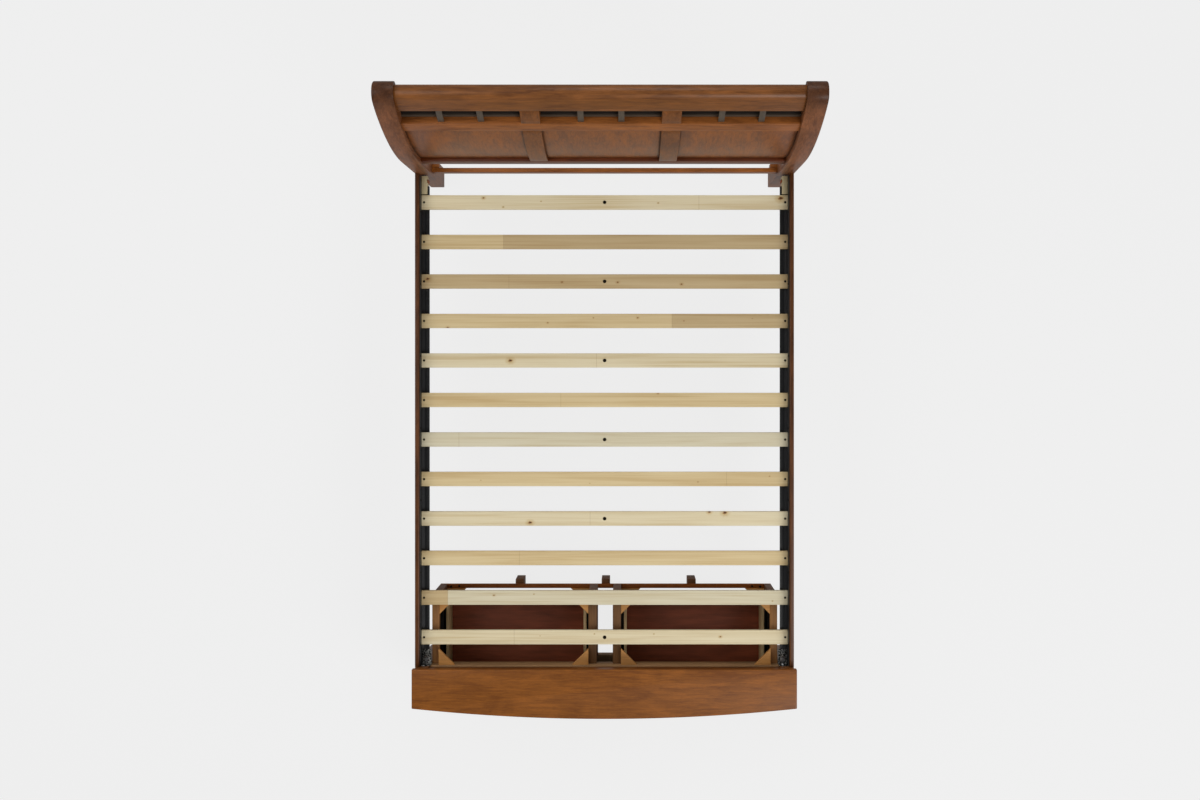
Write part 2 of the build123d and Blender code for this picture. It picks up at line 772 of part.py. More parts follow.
# Glued blocks in the corners of the top frames, and at the rear corners of the base
with BuildPart() as corner_blocks:
    upper_low = unit_top - upper_block_drop - upper_block_thickness
    for side in (-1, 1):
        for corner_x, toward_x in ((side * bay_inner, side), (side * bay_outer, -side)):
            extrude(corner_block_section(corner_x, unit_top_rear - outer_rail_width, toward_x, -1,
                                         upper_low), amount=upper_block_thickness)
            extrude(corner_block_section(corner_x, foot_plane, toward_x, 1, upper_low),
                    amount=upper_block_thickness)
            extrude(corner_block_section(corner_x, base_rear - base_rail_depth, toward_x, -1,
                                         base_top - base_thickness), amount=base_thickness)
finish(corner_blocks.part, "corner_blocks")

# Uprights of the unit: legs under the rear rail of the base, and posts between base and top
with BuildPart() as storage_uprights:
    leg_rear = base_rear + rear_leg_setback
    for middle_x in (-rear_leg_spacing, 0, rear_leg_spacing):
        block((middle_x - rear_leg_section / 2, leg_rear - rear_leg_section, 0),
              (middle_x + rear_leg_section / 2, leg_rear, base_top - base_thickness))
    for side in (-1, 1):
        for near, far in ((unit_half_gap, bay_inner), (bay_outer, unit_outer)):
            left, right = span(side, near, far)
            block((left, rear_post_front, base_top), (right, base_rear, unit_top - unit_top_thickness))
finish(storage_uprights.part, "storage_uprights")

# Boards that the slides are screwed to, and the blocks that hold their front ends
slide_board_low = slide_middle_height - slide_board_height / 2
slide_board_top = slide_middle_height + slide_board_height / 2
with BuildPart() as slide_boards:
    for side in (-1, 1):
        for near, far in ((bay_inner - slide_board_thickness, bay_inner),
                          (bay_outer, bay_outer + slide_board_thickness)):
            left, right = span(side, near, far)
            block((left, slide_board_front, slide_board_low), (right, rear_post_front, slide_board_top))
        left, right = span(side, bay_outer + slide_board_thickness + fit_gap, foot_post_inner)
        block((left, foot_plane - foot_rear_post_depth, slide_board_low),
              (right, foot_plane, slide_board_top))
        block((left, slide_board_front, slide_board_low),
              (right, foot_front_post_back, slide_board_top))
    centre_block_half = bay_inner - slide_board_thickness - fit_gap
    extrude(bow_trimmed_section(-centre_block_half, centre_block_half, slide_board_front
                                + centre_block_overlap, case_bow_radius - front_board,
                                slide_board_low), amount=slide_board_height)
finish(slide_boards.part, "slide_boards")


def slide_walls(side):
    """Wall of each of a drawer's two slides, and the direction from it to the drawer."""
    return ((side * bay_inner, side), (side * bay_outer, -side))


def channel_section(wall_x, toward, web, mouth, height):
    """Section of a rolled steel channel, from its web to the ends of its flanges."""
    web_x = wall_x + toward * web
    mouth_x = wall_x + toward * mouth
    inside_x = web_x + math.copysign(slide_sheet, mouth_x - web_x)
    with BuildSketch(Plane.XZ.offset(-slide_rear)) as section:
        with Locations(((web_x + mouth_x) / 2, slide_middle_height)):
            Rectangle(abs(mouth_x - web_x), height)
        with Locations(((inside_x + mouth_x) / 2, slide_middle_height)):
            Rectangle(abs(mouth_x - inside_x), height - 2 * slide_sheet, mode=Mode.SUBTRACT)
    return section.sketch


def ball_cage(wall_x, toward, near, flange_height, rear):
    """Pair of ball cages, one above and one below, that run in the races outside a channel."""
    thickness = slide_race - 2 * slide_race_play
    left, right = sorted((wall_x + toward * near, wall_x + toward * (near + ball_cage_width)))
    middle = flange_height / 2 + slide_race / 2
    for centre in (slide_middle_height - middle, slide_middle_height + middle):
        block((left, rear - ball_cage_length, centre - thickness / 2),
              (right, rear, centre + thickness / 2))


# Slides: outer members on the boards, middle members with their ball cages, inner members
middle_height = slide_height - 2 * slide_sheet - 2 * slide_race
inner_height = middle_height - 2 * slide_sheet - 2 * slide_race
with BuildPart() as slide_outer_members:
    for wall_x, toward in slide_walls(-1) + slide_walls(1):
        extrude(channel_section(wall_x, toward, 0, slide_outer_depth, slide_height),
                amount=slide_length)
finish(slide_outer_members.part, "slide_outer_members")

for side, name in ((-1, "left"), (1, "right")):
    with BuildPart() as slide_middle:
        for wall_x, toward in slide_walls(side):
            extrude(channel_section(wall_x, toward, slide_middle_web, slide_middle_mouth,
                                    middle_height), amount=slide_length)
            ball_cage(wall_x, toward, slide_middle_web + slide_sheet + slide_race_play,
                      middle_height, slide_rear - ball_cage_inset)
            ball_cage(wall_x, toward, slide_inner_mouth + slide_race_play, inner_height,
                      slide_rear - slide_length + ball_cage_inset + ball_cage_length)
    finish(slide_middle.part, f"slide_middle_{name}")

    with BuildPart() as slide_inner:
        for wall_x, toward in slide_walls(side):
            extrude(channel_section(wall_x, toward, slide_thickness, slide_inner_mouth, inner_height),
                    amount=slide_length)
    finish(slide_inner.part, f"slide_inner_{name}")


# Drawers
def drawer_box(side):
    """Two sides, cut to the bow of the front and grooved for the bottom, and the back."""
    panel_low = drawer_low + drawer_panel_rise
    panel_top = panel_low + drawer_panel_thickness
    with BuildPart() as box:
        for near, inward in ((drawer_inner, 1), (drawer_outer, -1)):
            left, right = span(side, near, near + inward * drawer_side_thickness)
            extrude(bow_trimmed_section(left, right, drawer_rear, front_back_radius, drawer_low),
                    amount=drawer_side_height)
            inside = near + inward * drawer_side_thickness
            left, right = span(side, inside - inward * drawer_panel_groove, inside)
            block((left, slab_front, panel_low), (right, drawer_rear, panel_top), mode=Mode.SUBTRACT)
        left, right = span(side, drawer_inner + drawer_side_thickness + fit_gap,
                           drawer_outer - drawer_side_thickness - fit_gap)
        block((left, drawer_rear - drawer_side_thickness, panel_top),
              (right, drawer_rear, drawer_low + drawer_side_height))
    return box.part


def drawer_bottom(side):
    """Bottom panel, in the grooves of the sides and under the back."""
    inset = drawer_side_thickness - drawer_panel_groove
    left, right = span(side, drawer_inner + inset, drawer_outer - inset)
    with BuildPart() as bottom:
        extrude(bow_trimmed_section(left, right, drawer_rear, front_back_radius,
                                    drawer_low + drawer_panel_rise), amount=drawer_panel_thickness)
    return bottom.part


def drawer_front(side):
    """Bowed front, set between the footboard's posts, rails and stile."""
    left, right = span(side, front_inner, front_outer)
    front_low = foot_rail_top + front_low_reveal
    with BuildPart() as front:
        extrude(bowed_section(left, right, case_bow_radius, front_thickness, front_low),
                amount=apron_low - front_low_reveal - front_low)
        chamfer(front.faces().sort_by(Axis.Y)[0].edges(), front_edge_chamfer)
    return front.part


def drawer_knobs(side):
    """Turned knobs, square to the bowed front where each one sits."""
    with BuildPart() as knobs:
        for offset in (-knob_spacing / 2, knob_spacing / 2):
            knob_x = side * drawer_middle + offset
            reach = math.sqrt(case_bow_radius**2 - knob_x**2)
            seat = Plane(origin=(knob_x, bow_centre_y - reach, knob_height), x_dir=(0, 0, 1),
                         z_dir=(knob_x / case_bow_radius, -reach / case_bow_radius, 0))
            with BuildSketch(Plane(origin=seat.origin, x_dir=seat.x_dir, z_dir=seat.y_dir)):
                with BuildLine():
                    Polyline((0, 0), (knob_base / 2, 0), (knob_neck / 2, -knob_neck_start),
                             (knob_neck / 2, -knob_neck_end), (knob_head / 2, -knob_rim_start),
                             (knob_head / 2, -knob_rim_end), (knob_face / 2, -knob_length),
                             (0, -knob_length), close=True)
                make_face()
            revolve(axis=Axis(seat.origin, seat.z_dir))
    return knobs.part


for side, name in ((-1, "left"), (1, "right")):
    finish(drawer_box(side), f"drawer_box_{name}")
    finish(drawer_bottom(side), f"drawer_bottom_{name}")
    finish(drawer_front(side), f"drawer_front_{name}")
    finish(drawer_knobs(side), f"drawer_knobs_{name}")
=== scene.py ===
# %% [markdown]
# A queen-size sleigh bed with two drawers in its footboard, seen from straight above.
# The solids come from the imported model, at their real sizes. This script gives each of them
# eased edges and a finish, models the small turned and threaded parts more finely, and sets
# up a plain studio round the bed.

# %% Load the frame
import json
import math

import bpy
from mathutils import Matrix, Vector


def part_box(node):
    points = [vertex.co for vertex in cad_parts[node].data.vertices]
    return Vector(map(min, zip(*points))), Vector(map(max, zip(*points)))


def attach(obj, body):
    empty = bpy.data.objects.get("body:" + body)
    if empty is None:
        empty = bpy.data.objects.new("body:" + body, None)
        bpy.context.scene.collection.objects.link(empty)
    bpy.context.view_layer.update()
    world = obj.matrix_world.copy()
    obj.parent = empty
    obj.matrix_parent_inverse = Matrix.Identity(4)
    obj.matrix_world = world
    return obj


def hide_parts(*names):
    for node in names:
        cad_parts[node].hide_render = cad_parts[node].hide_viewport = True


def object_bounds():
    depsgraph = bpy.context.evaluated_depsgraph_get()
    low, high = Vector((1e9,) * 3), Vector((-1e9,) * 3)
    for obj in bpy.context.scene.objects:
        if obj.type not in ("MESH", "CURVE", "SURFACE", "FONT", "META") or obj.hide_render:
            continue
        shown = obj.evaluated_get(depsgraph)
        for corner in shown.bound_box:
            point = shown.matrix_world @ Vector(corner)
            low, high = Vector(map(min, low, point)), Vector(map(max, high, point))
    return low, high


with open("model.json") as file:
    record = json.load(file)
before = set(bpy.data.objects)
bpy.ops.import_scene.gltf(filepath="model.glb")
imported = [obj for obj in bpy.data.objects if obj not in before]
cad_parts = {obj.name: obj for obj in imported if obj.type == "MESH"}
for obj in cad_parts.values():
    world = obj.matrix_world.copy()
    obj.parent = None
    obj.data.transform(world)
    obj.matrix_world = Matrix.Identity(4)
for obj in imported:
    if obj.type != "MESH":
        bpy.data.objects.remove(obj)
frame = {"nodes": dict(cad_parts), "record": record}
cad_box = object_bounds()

MM = 0.001
nodes = frame["nodes"]
body_of = {name: body for body, members in frame["record"]["behaviour"]["bodies"].items()
           for name in members}
print("nodes:", len(nodes), "box:", [tuple(round(v, 4) for v in corner) for corner in cad_box])

# %% [markdown]
# Modelling tools act on everything that is selected, and the loaded nodes arrive selected.
# So one helper clears the selection and leaves a single object active, and every other
# helper calls it first.


# %% Select, edit and apply
def only(piece):
    """Make one object the selected and active one."""
    if bpy.context.object and bpy.context.object.mode != "OBJECT":
        bpy.ops.object.mode_set(mode="OBJECT")
    bpy.ops.object.select_all(action="DESELECT")
    piece.select_set(True)
    bpy.context.view_layer.objects.active = piece
    return piece


def modify(piece, kind, **settings):
    """Add a modifier with its settings, and apply it."""
    modifier = piece.modifiers.new(kind.title(), kind)
    for name, value in settings.items():
        setattr(modifier, name, value)
    only(piece)
    bpy.ops.object.modifier_apply(modifier=modifier.name)


def settle(piece, matrix):
    """Put a piece that was modelled at the origin in its place, with its object left there."""
    only(piece)
    piece.matrix_world = matrix
    bpy.ops.object.transform_apply(location=True, rotation=True, scale=True)


def copy_to(model, matrix):
    """Copy of a model, with a mesh of its own, put in place."""
    piece = model.copy()
    piece.data = model.data.copy()
    bpy.context.scene.collection.objects.link(piece)
    settle(piece, matrix)
    return piece


def facing(place, direction):
    """Matrix that puts a model at a place in millimetres, with its Z along a direction."""
    turn = Vector(direction).to_track_quat("Z", "Y").to_matrix().to_4x4()
    return Matrix.Translation(Vector(place) * MM) @ turn


def remove(*pieces):
    """Delete models that were only made to be copied or to cut with."""
    for piece in pieces:
        bpy.data.objects.remove(piece, do_unlink=True)


def soften(piece, degrees=30):
    """Shade smoothly across edges that turn by less than an angle."""
    only(piece)
    bpy.ops.object.shade_smooth_by_angle(angle=math.radians(degrees))


def join(pieces, name):
    """Join pieces into one object."""
    only(pieces[0])
    for piece in pieces:
        piece.select_set(True)
    bpy.ops.object.join()
    joined = bpy.context.object
    joined.name = name
    joined.data.name = name
    return joined


# %% [markdown]
# A material reads the object's own coordinates, in metres. As every finished piece stays at
# the origin, those are places on the bed, and a pattern runs on from one piece to the next
# unless it is shifted. Colours are written as they look on a screen, in hex, and turned to
# linear light by one function.


# %% Colours and nodes
def linear(hex_colour):
    """Linear RGBA of an sRGB hex colour."""
    channels = [int(hex_colour[start:start + 2], 16) / 255 for start in (1, 3, 5)]
    return [c / 12.92 if c <= 0.04045 else ((c + 0.055) / 1.055) ** 2.4 for c in channels] + [1.0]


def add(tree, kind, links=None, stops=None, **settings):
    """Add a node with its settings, its inputs' values or links, and a ramp's stops."""
    node = tree.nodes.new(kind)
    for name, value in settings.items():
        setattr(node, name, value)
    for name, value in (links or {}).items():
        if isinstance(value, bpy.types.NodeSocket):
            tree.links.new(value, node.inputs[name])
        else:
            node.inputs[name].default_value = value
    if stops:
        elements = node.color_ramp.elements
        while len(elements) > len(stops):
            elements.remove(elements[-1])
        while len(elements) < len(stops):
            elements.new(1.0)
        for element, (place, colour) in zip(elements, stops):
            element.position = place
            if isinstance(colour, str):
                colour = linear(colour)
            element.color = colour if isinstance(colour, (tuple, list)) else (colour,) * 3 + (1.0,)
    return node


def new_material(name):
    """Empty node material, with its tree, its shader and the object's coordinates."""
    material = bpy.data.materials.new(name)
    material.use_nodes = True
    tree = material.node_tree
    tree.nodes.clear()
    shader = add(tree, "ShaderNodeBsdfPrincipled")
    output = add(tree, "ShaderNodeOutputMaterial")
    tree.links.new(shader.outputs["BSDF"], output.inputs["Surface"])
    place = add(tree, "ShaderNodeTexCoord").outputs["Object"]
    return material, tree, shader, place


# %% [markdown]
# ## The studio
# The camera looks straight down from 6.7 m above the floor, a little off the bed's middle.
# Its lens shift puts the point below it where the picture has it. The floor is a pale sweep
# that shows one even colour to the camera, looks dimmer in reflections, and keeps a faint shadow.

# %% Camera
CAMERA_PLACE = (0.094, 0.231, 6.7)
LENS = 44.64
SHIFT = (-0.0225, -0.0292)

bpy.ops.object.camera_add(location=CAMERA_PLACE, rotation=(0, 0, 0))
camera = bpy.context.object
camera.data.sensor_width = 36
camera.data.lens = LENS
camera.data.shift_x, camera.data.shift_y = SHIFT
camera.data.clip_end = 100
bpy.context.scene.camera = camera
bpy.context.scene.view_settings.view_transform = "Standard"
print("camera at", tuple(camera.location))

# %% [markdown]
# The world lights everything evenly. Lacquer mirrors that light, so what glossy
# surfaces see of it falls off towards the zenith, as it would under a darker ceiling.

# %% Floor and surroundings
PAPER = "#EFEFEF"
FLOOR_SIZE = 60
SHADOW_SHARE = 0.07

bpy.ops.mesh.primitive_plane_add(size=FLOOR_SIZE)
floor = bpy.context.object
floor.name = "floor"

paper, tree, shader, place = new_material("pale_paper_sweep")
shader.inputs["Base Color"].default_value = linear(PAPER)
shader.inputs["Roughness"].default_value = 0.9
rays = add(tree, "ShaderNodeLightPath")
mirrored = add(tree, "ShaderNodeMapRange", {"Value": rays.outputs["Is Glossy Ray"], "To Min": 1.0,
                                            "To Max": 0.42})
glow = add(tree, "ShaderNodeEmission", {"Color": linear(PAPER), "Strength": mirrored.outputs[0]})
seen = add(tree, "ShaderNodeMath", {0: rays.outputs["Is Camera Ray"], 1: rays.outputs["Is Glossy Ray"]},
           operation="MAXIMUM")
share = add(tree, "ShaderNodeMath", {0: seen.outputs[0], 1: 1 - SHADOW_SHARE}, operation="MULTIPLY")
both = add(tree, "ShaderNodeMixShader", {0: share.outputs[0], 1: shader.outputs["BSDF"],
                                         2: glow.outputs["Emission"]})
tree.links.new(both.outputs[0], tree.nodes["Material Output"].inputs["Surface"])
floor.data.materials.append(paper)

world = bpy.data.worlds.new("studio")
bpy.context.scene.world = world
world.use_nodes = True
tree = world.node_tree
tree.nodes.clear()
rays = add(tree, "ShaderNodeLightPath")
seen = add(tree, "ShaderNodeMath", {0: rays.outputs["Is Camera Ray"], 1: rays.outputs["Is Glossy Ray"]},
           operation="MAXIMUM")
seen = add(tree, "ShaderNodeMath", {0: seen.outputs[0], 1: rays.outputs["Is Transmission Ray"]},
           operation="MAXIMUM")
direction = add(tree, "ShaderNodeTexCoord").outputs["Generated"]
height = add(tree, "ShaderNodeSeparateXYZ", {0: direction}).outputs["Z"]
ceiling = add(tree, "ShaderNodeMapRange", {"Value": height, "From Min": 0.10, "From Max": 0.75,
                                           "To Min": 0.60, "To Max": 0.18})
hidden = add(tree, "ShaderNodeMix", {"Factor": rays.outputs["Is Glossy Ray"], "A": 1.0,
                                     "B": ceiling.outputs[0]}, data_type="FLOAT")
strength = add(tree, "ShaderNodeMix", {"Factor": seen.outputs[0], "A": 0.55, "B": hidden.outputs[0]},
               data_type="FLOAT")
sky = add(tree, "ShaderNodeBackground", {"Color": linear(PAPER), "Strength": strength.outputs[0]})
output = add(tree, "ShaderNodeOutputWorld")
tree.links.new(sky.outputs[0], output.inputs["Surface"])


# %% [markdown]
# Three soft boxes do the rest: a key, a fill opposite it, and one beyond the head. They are
# large for their distance, so the shadows they throw have no hard edge.

# %% Lamps
def softbox(name, place, target, size, power):
    """Large square lamp that faces a point and isn't seen itself."""
    bpy.ops.object.light_add(type="AREA", location=place)
    lamp = bpy.context.object
    lamp.name = name
    lamp.data.shape = "SQUARE"
    lamp.data.size = size
    lamp.data.energy = power
    lamp.visible_camera = False
    lamp.rotation_euler = (Vector(target) - Vector(place)).to_track_quat("-Z", "Y").to_euler()
    return lamp


softbox("key", (3.2, -3.4, 5.0), (0, -0.2, 0.4), 3.0, 190)
softbox("fill", (-3.6, 1.0, 4.6), (0, 0, 0.4), 3.4, 90)
softbox("head", (0.4, 4.4, 4.2), (0, 0.9, 1.0), 2.4, 50)

# %% [markdown]
# ## Stained hardwood
# The bed is rubberwood and veneer, wiped with a brown stain and sprayed with satin lacquer.
# Stain soaks in unevenly, so the tone drifts over a hand's width, and pores and growth lines
# show as dark streaks along the grain. One function makes it, and is told which way the
# grain runs. On the headboard the grain follows the curve: the height is replaced by the
# distance along the arc, worked out from the arc's centre.

# %% Grain directions
headboard_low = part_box("headboard_post_left")[0]
SWEEP_RADIUS = 1700 * MM
SPRING_HEIGHT = 820 * MM
HEAD_PLANE = headboard_low.y
print("front of the headboard at y =", round(HEAD_PLANE, 4))


def swept(tree, place):
    """Coordinates on the headboard: across, along its curve, and depth behind its front."""
    parts = add(tree, "ShaderNodeSeparateXYZ", {0: place})
    rise = add(tree, "ShaderNodeMath", {0: parts.outputs["Z"], 1: SPRING_HEIGHT}, operation="SUBTRACT")
    reach = add(tree, "ShaderNodeMath", {0: HEAD_PLANE + SWEEP_RADIUS, 1: parts.outputs["Y"]},
                operation="SUBTRACT")
    up = add(tree, "ShaderNodeMath", {0: rise.outputs[0], 1: 0.0}, operation="MAXIMUM")
    turn = add(tree, "ShaderNodeMath", {0: up.outputs[0], 1: reach.outputs[0]}, operation="ARCTAN2")
    arc = add(tree, "ShaderNodeMath", {0: turn.outputs[0], 1: SWEEP_RADIUS}, operation="MULTIPLY")
    below = add(tree, "ShaderNodeMath", {0: rise.outputs[0], 1: 0.0}, operation="MINIMUM")
    along = add(tree, "ShaderNodeMath", {0: arc.outputs[0], 1: below.outputs[0]})
    return add(tree, "ShaderNodeCombineXYZ", {"X": parts.outputs["X"], "Y": parts.outputs["Y"],
                                              "Z": along.outputs[0]}).outputs[0]


def grain_first(tree, place, grain, shift):
    """Coordinates with the grain's direction first, shifted so that no two boards match."""
    parts = add(tree, "ShaderNodeSeparateXYZ", {0: place})
    order = {"X": "XYZ", "Y": "YXZ", "Z": "ZXY"}[grain]
    turned = add(tree, "ShaderNodeCombineXYZ", {axis: parts.outputs[source]
                                                for axis, source in zip("XYZ", order)})
    offset = (shift * 1.37, shift * 0.61, shift * 0.23)
    return add(tree, "ShaderNodeVectorMath", {0: turned.outputs[0], 1: offset}).outputs[0]


def streaks(tree, along_grain, length, width, detail=3.0, roughness=0.55, distortion=0.0):
    """Noise drawn out along the grain, from a length and a width in metres."""
    scale = (1 / length, 1 / width, 1 / width)
    stretched = add(tree, "ShaderNodeVectorMath", {0: along_grain, 1: scale}, operation="MULTIPLY")
    return add(tree, "ShaderNodeTexNoise", {"Vector": stretched.outputs[0], "Scale": 1.0,
                                            "Detail": detail, "Roughness": roughness,
                                            "Distortion": distortion}).outputs["Fac"]


def tinted(tree, tone, mask, spread, reach=0.16, warm=1.0):
    """Tone in hex, made darker and paler by a share as a mask runs from low to high.

    The dark end is redder when warm is below one.
    """
    pale = [min(channel * (1 + spread), 1.0) for channel in linear(tone)[:3]] + [1.0]
    low = (1 - spread) / (1 + spread)
    shade = add(tree, "ShaderNodeValToRGB", {"Fac": mask},
                stops=[(0.50 - reach, (low, low * warm, low * warm**2, 1.0)), (0.50, 1 / (1 + spread)),
                       (0.50 + reach, 1.0)])
    return add(tree, "ShaderNodeMix", {"Factor": 1.0, 6: pale, 7: shade.outputs[0]},
               data_type="RGBA", blend_type="MULTIPLY").outputs[2]


def darkened(tree, colour, value, start, end, share):
    """Colour that grows darker by a share as a value runs from one limit to the other."""
    shade = add(tree, "ShaderNodeMapRange", {"Value": value, "From Min": start, "From Max": end,
                                             "To Min": 1.0, "To Max": 1 - share})
    return add(tree, "ShaderNodeMix", {"Factor": 1.0, 6: colour, 7: shade.outputs[0]},
               data_type="RGBA", blend_type="MULTIPLY").outputs[2]


# %% Stained hardwood under satin lacquer
def stained_hardwood(name, grain, tone, shift=0.0, curved=False, bay=None, painted_shade_top=False, figured=0.36,
                     sheen=0.28):
    """Rubberwood or veneer with a wiped brown stain, under sprayed satin lacquer."""
    material, tree, shader, place = new_material(name)
    if curved:
        place = swept(tree, place)
    along = grain_first(tree, place, grain, shift)
    drift = streaks(tree, along, 0.22, 0.06, 4.0, 0.55, 0.8)
    figure = streaks(tree, along, 0.11, 0.0085, 4.0, 0.66, 0.9)
    pores = streaks(tree, along, 0.022, 0.0013, 2.0, 0.6)
    mask = add(tree, "ShaderNodeMix", {"Factor": 0.52, "A": drift, "B": figure}, data_type="FLOAT")
    colour = tinted(tree, tone, mask.outputs[0], figured, 0.11, 0.93)
    colour = darkened(tree, colour, pores, 0.46, 0.30, 0.30)
    if bay:
        # Painted shade where a panel meets the frame: darker beside the posts and stiles, partly painted
        # shade and partly gathered stain, and a painted shadow along the panel's foot
        parts = add(tree, "ShaderNodeSeparateXYZ", {0: place})
        middle, half = (bay[0] + bay[1]) / 2 * MM, (bay[1] - bay[0]) / 2 * MM
        off = add(tree, "ShaderNodeMath", {0: parts.outputs["X"], 1: middle}, operation="SUBTRACT")
        off = add(tree, "ShaderNodeMath", {0: off.outputs[0]}, operation="ABSOLUTE")
        colour = darkened(tree, colour, off.outputs[0], half - 9 * MM, half - 2 * MM, 0.60)
        colour = darkened(tree, colour, parts.outputs["Z"], -36 * MM, -48 * MM, 0.60)
    if painted_shade_top:
        # Painted shade: the top of each post is darker, standing in for the dark ceiling its lacquer
        # reflects
        height = add(tree, "ShaderNodeSeparateXYZ", {0: place}).outputs["Z"]
        colour = darkened(tree, colour, height, 560 * MM, 680 * MM, 0.62)
    gloss = add(tree, "ShaderNodeMapRange", {"Value": drift, "To Min": 0.34, "To Max": 0.48})
    bump = add(tree, "ShaderNodeBump", {"Height": pores, "Strength": 0.12, "Distance": 0.3 * MM})
    for socket, value in (("Base Color", colour), ("Roughness", gloss.outputs[0]),
                          ("Normal", bump.outputs[0])):
        tree.links.new(value, shader.inputs[socket])
    shader.inputs["IOR"].default_value = 1.5
    shader.inputs["Specular IOR Level"].default_value = sheen
    shader.inputs["Coat Weight"].default_value = sheen / 5
    shader.inputs["Coat Roughness"].default_value = 0.22
    return material


# %% [markdown]
# ## Raw timber
# The slats are planed pine, glued end to end in finger joints and left bare: the tone steps at
# a joint, and knots are dark ovals with a paler ring. The unit at the foot is rubberwood that
# was toned and left without lacquer, the drawer sides are pale poplar, and the drawer bottoms
# are plywood with a reddish-brown face. All three are duller than the lacquered boards.


# %% Unlacquered wood
def bare_wood(name, grain, tone, shift=0.0, spread=0.22, streak=0.008, gloss=0.62, inward=0.0):
    """Planed wood with a toned but unlacquered face."""
    material, tree, shader, place = new_material(name)
    along = grain_first(tree, place, grain, shift)
    drift = streaks(tree, along, 0.35, 0.06, 3.0, 0.5, 0.6)
    figure = streaks(tree, along, 0.12, streak, 4.0, 0.6, 0.4)
    pores = streaks(tree, along, 0.020, 0.0014, 2.0, 0.6)
    mask = add(tree, "ShaderNodeMix", {"Factor": 0.5, "A": drift, "B": figure}, data_type="FLOAT")
    bump = add(tree, "ShaderNodeBump", {"Height": pores, "Strength": 0.15, "Distance": 0.4 * MM})
    colour = tinted(tree, tone, mask.outputs[0], spread)
    if inward:
        across = add(tree, "ShaderNodeSeparateXYZ", {0: place}).outputs["X"]
        across = add(tree, "ShaderNodeMath", {0: across}, operation="ABSOLUTE").outputs[0]
        colour = darkened(tree, colour, across, 640 * MM, 80 * MM, inward)
    tree.links.new(colour, shader.inputs["Base Color"])
    tree.links.new(bump.outputs[0], shader.inputs["Normal"])
    shader.inputs["Roughness"].default_value = gloss
    shader.inputs["IOR"].default_value = 1.5
    shader.inputs["Specular IOR Level"].default_value = 0.3
    return material


# %% [markdown]
# Pine keeps its knots, so each slat gets its own list of them, and of the joints where one
# length of timber was glued to the next.

# %% Raw pine with knots and finger joints
PINE_TONES = {"pale": "#D9CDAD", "warm": "#D3BF94", "grey": "#CFC7AD", "tan": "#C1AB82"}


def raw_pine(name, y, tone, joints=(), knots=(), shift=0.0):
    """Planed pine slat: joints are (x, tone beyond it), knots are (x, offset in y, radius), in mm."""
    material, tree, shader, place = new_material(name)
    parts = add(tree, "ShaderNodeSeparateXYZ", {0: place})
    along = grain_first(tree, place, "X", shift)
    drift = streaks(tree, along, 0.60, 0.030, 2.0, 0.5, 0.5)
    latewood = streaks(tree, along, 0.55, 0.0045, 2.0, 0.6, 0.3)
    colour = add(tree, "ShaderNodeRGB").outputs[0]
    colour.default_value = linear(PINE_TONES[tone])
    for x, beyond in joints:
        past = add(tree, "ShaderNodeMath", {0: parts.outputs["X"], 1: x * MM}, operation="GREATER_THAN")
        colour = add(tree, "ShaderNodeMix", {"Factor": past.outputs[0], 6: colour,
                                             7: linear(PINE_TONES[beyond])}, data_type="RGBA").outputs[2]
        off = add(tree, "ShaderNodeMath", {0: parts.outputs["X"], 1: x * MM}, operation="SUBTRACT")
        off = add(tree, "ShaderNodeMath", {0: off.outputs[0]}, operation="ABSOLUTE")
        glue = add(tree, "ShaderNodeMapRange", {"Value": off.outputs[0], "From Min": 0.3 * MM,
                                                "From Max": 1.2 * MM, "To Min": 0.45, "To Max": 0.0})
        colour = add(tree, "ShaderNodeMix", {"Factor": glue.outputs[0], 6: colour,
                                             7: linear("#8F6E42")}, data_type="RGBA").outputs[2]
    shade = add(tree, "ShaderNodeMix", {"Factor": 0.45, "A": drift, "B": latewood}, data_type="FLOAT")
    tint = add(tree, "ShaderNodeValToRGB", {"Fac": shade.outputs[0]},
               stops=[(0.34, "#E4D8C4"), (0.52, "#F7F4EE"), (0.68, "#FFFFFF")])
    colour = add(tree, "ShaderNodeMix", {"Factor": 1.0, 6: colour, 7: tint.outputs[0]},
                 data_type="RGBA", blend_type="MULTIPLY").outputs[2]
    for x, offset, radius in knots:
        centre = (x * MM, y + offset * MM, 0.0)
        stretch = (0.7 / (radius * MM), 1 / (radius * MM), 0.0)
        away = add(tree, "ShaderNodeVectorMath", {0: place, 1: centre}, operation="SUBTRACT")
        away = add(tree, "ShaderNodeVectorMath", {0: away.outputs[0], 1: stretch}, operation="MULTIPLY")
        wobble = add(tree, "ShaderNodeTexNoise", {"Vector": away.outputs[0], "Scale": 1.6, "Detail": 2.0})
        reach = add(tree, "ShaderNodeVectorMath", {0: away.outputs[0]}, operation="LENGTH")
        reach = add(tree, "ShaderNodeMath", {0: wobble.outputs["Fac"], 1: 0.9, 2: reach.outputs["Value"]},
                    operation="MULTIPLY_ADD")
        knot = add(tree, "ShaderNodeValToRGB", {"Fac": reach.outputs[0]},
                   stops=[(0.50, "#3A2010"), (0.66, "#7A4E2A"), (0.84, "#C09A6C"), (1.0, "#EADCC2")])
        edge = add(tree, "ShaderNodeMapRange", {"Value": reach.outputs[0], "From Min": 0.9,
                                                "From Max": 1.9, "To Min": 1.0, "To Max": 0.0})
        colour = add(tree, "ShaderNodeMix", {"Factor": edge.outputs[0], 6: colour, 7: knot.outputs[0]},
                     data_type="RGBA", blend_type="MULTIPLY").outputs[2]
    bump = add(tree, "ShaderNodeBump", {"Height": latewood, "Strength": 0.12, "Distance": 0.4 * MM})
    tree.links.new(colour, shader.inputs["Base Color"])
    tree.links.new(bump.outputs[0], shader.inputs["Normal"])
    shader.inputs["Roughness"].default_value = 0.66
    shader.inputs["IOR"].default_value = 1.5
    return material
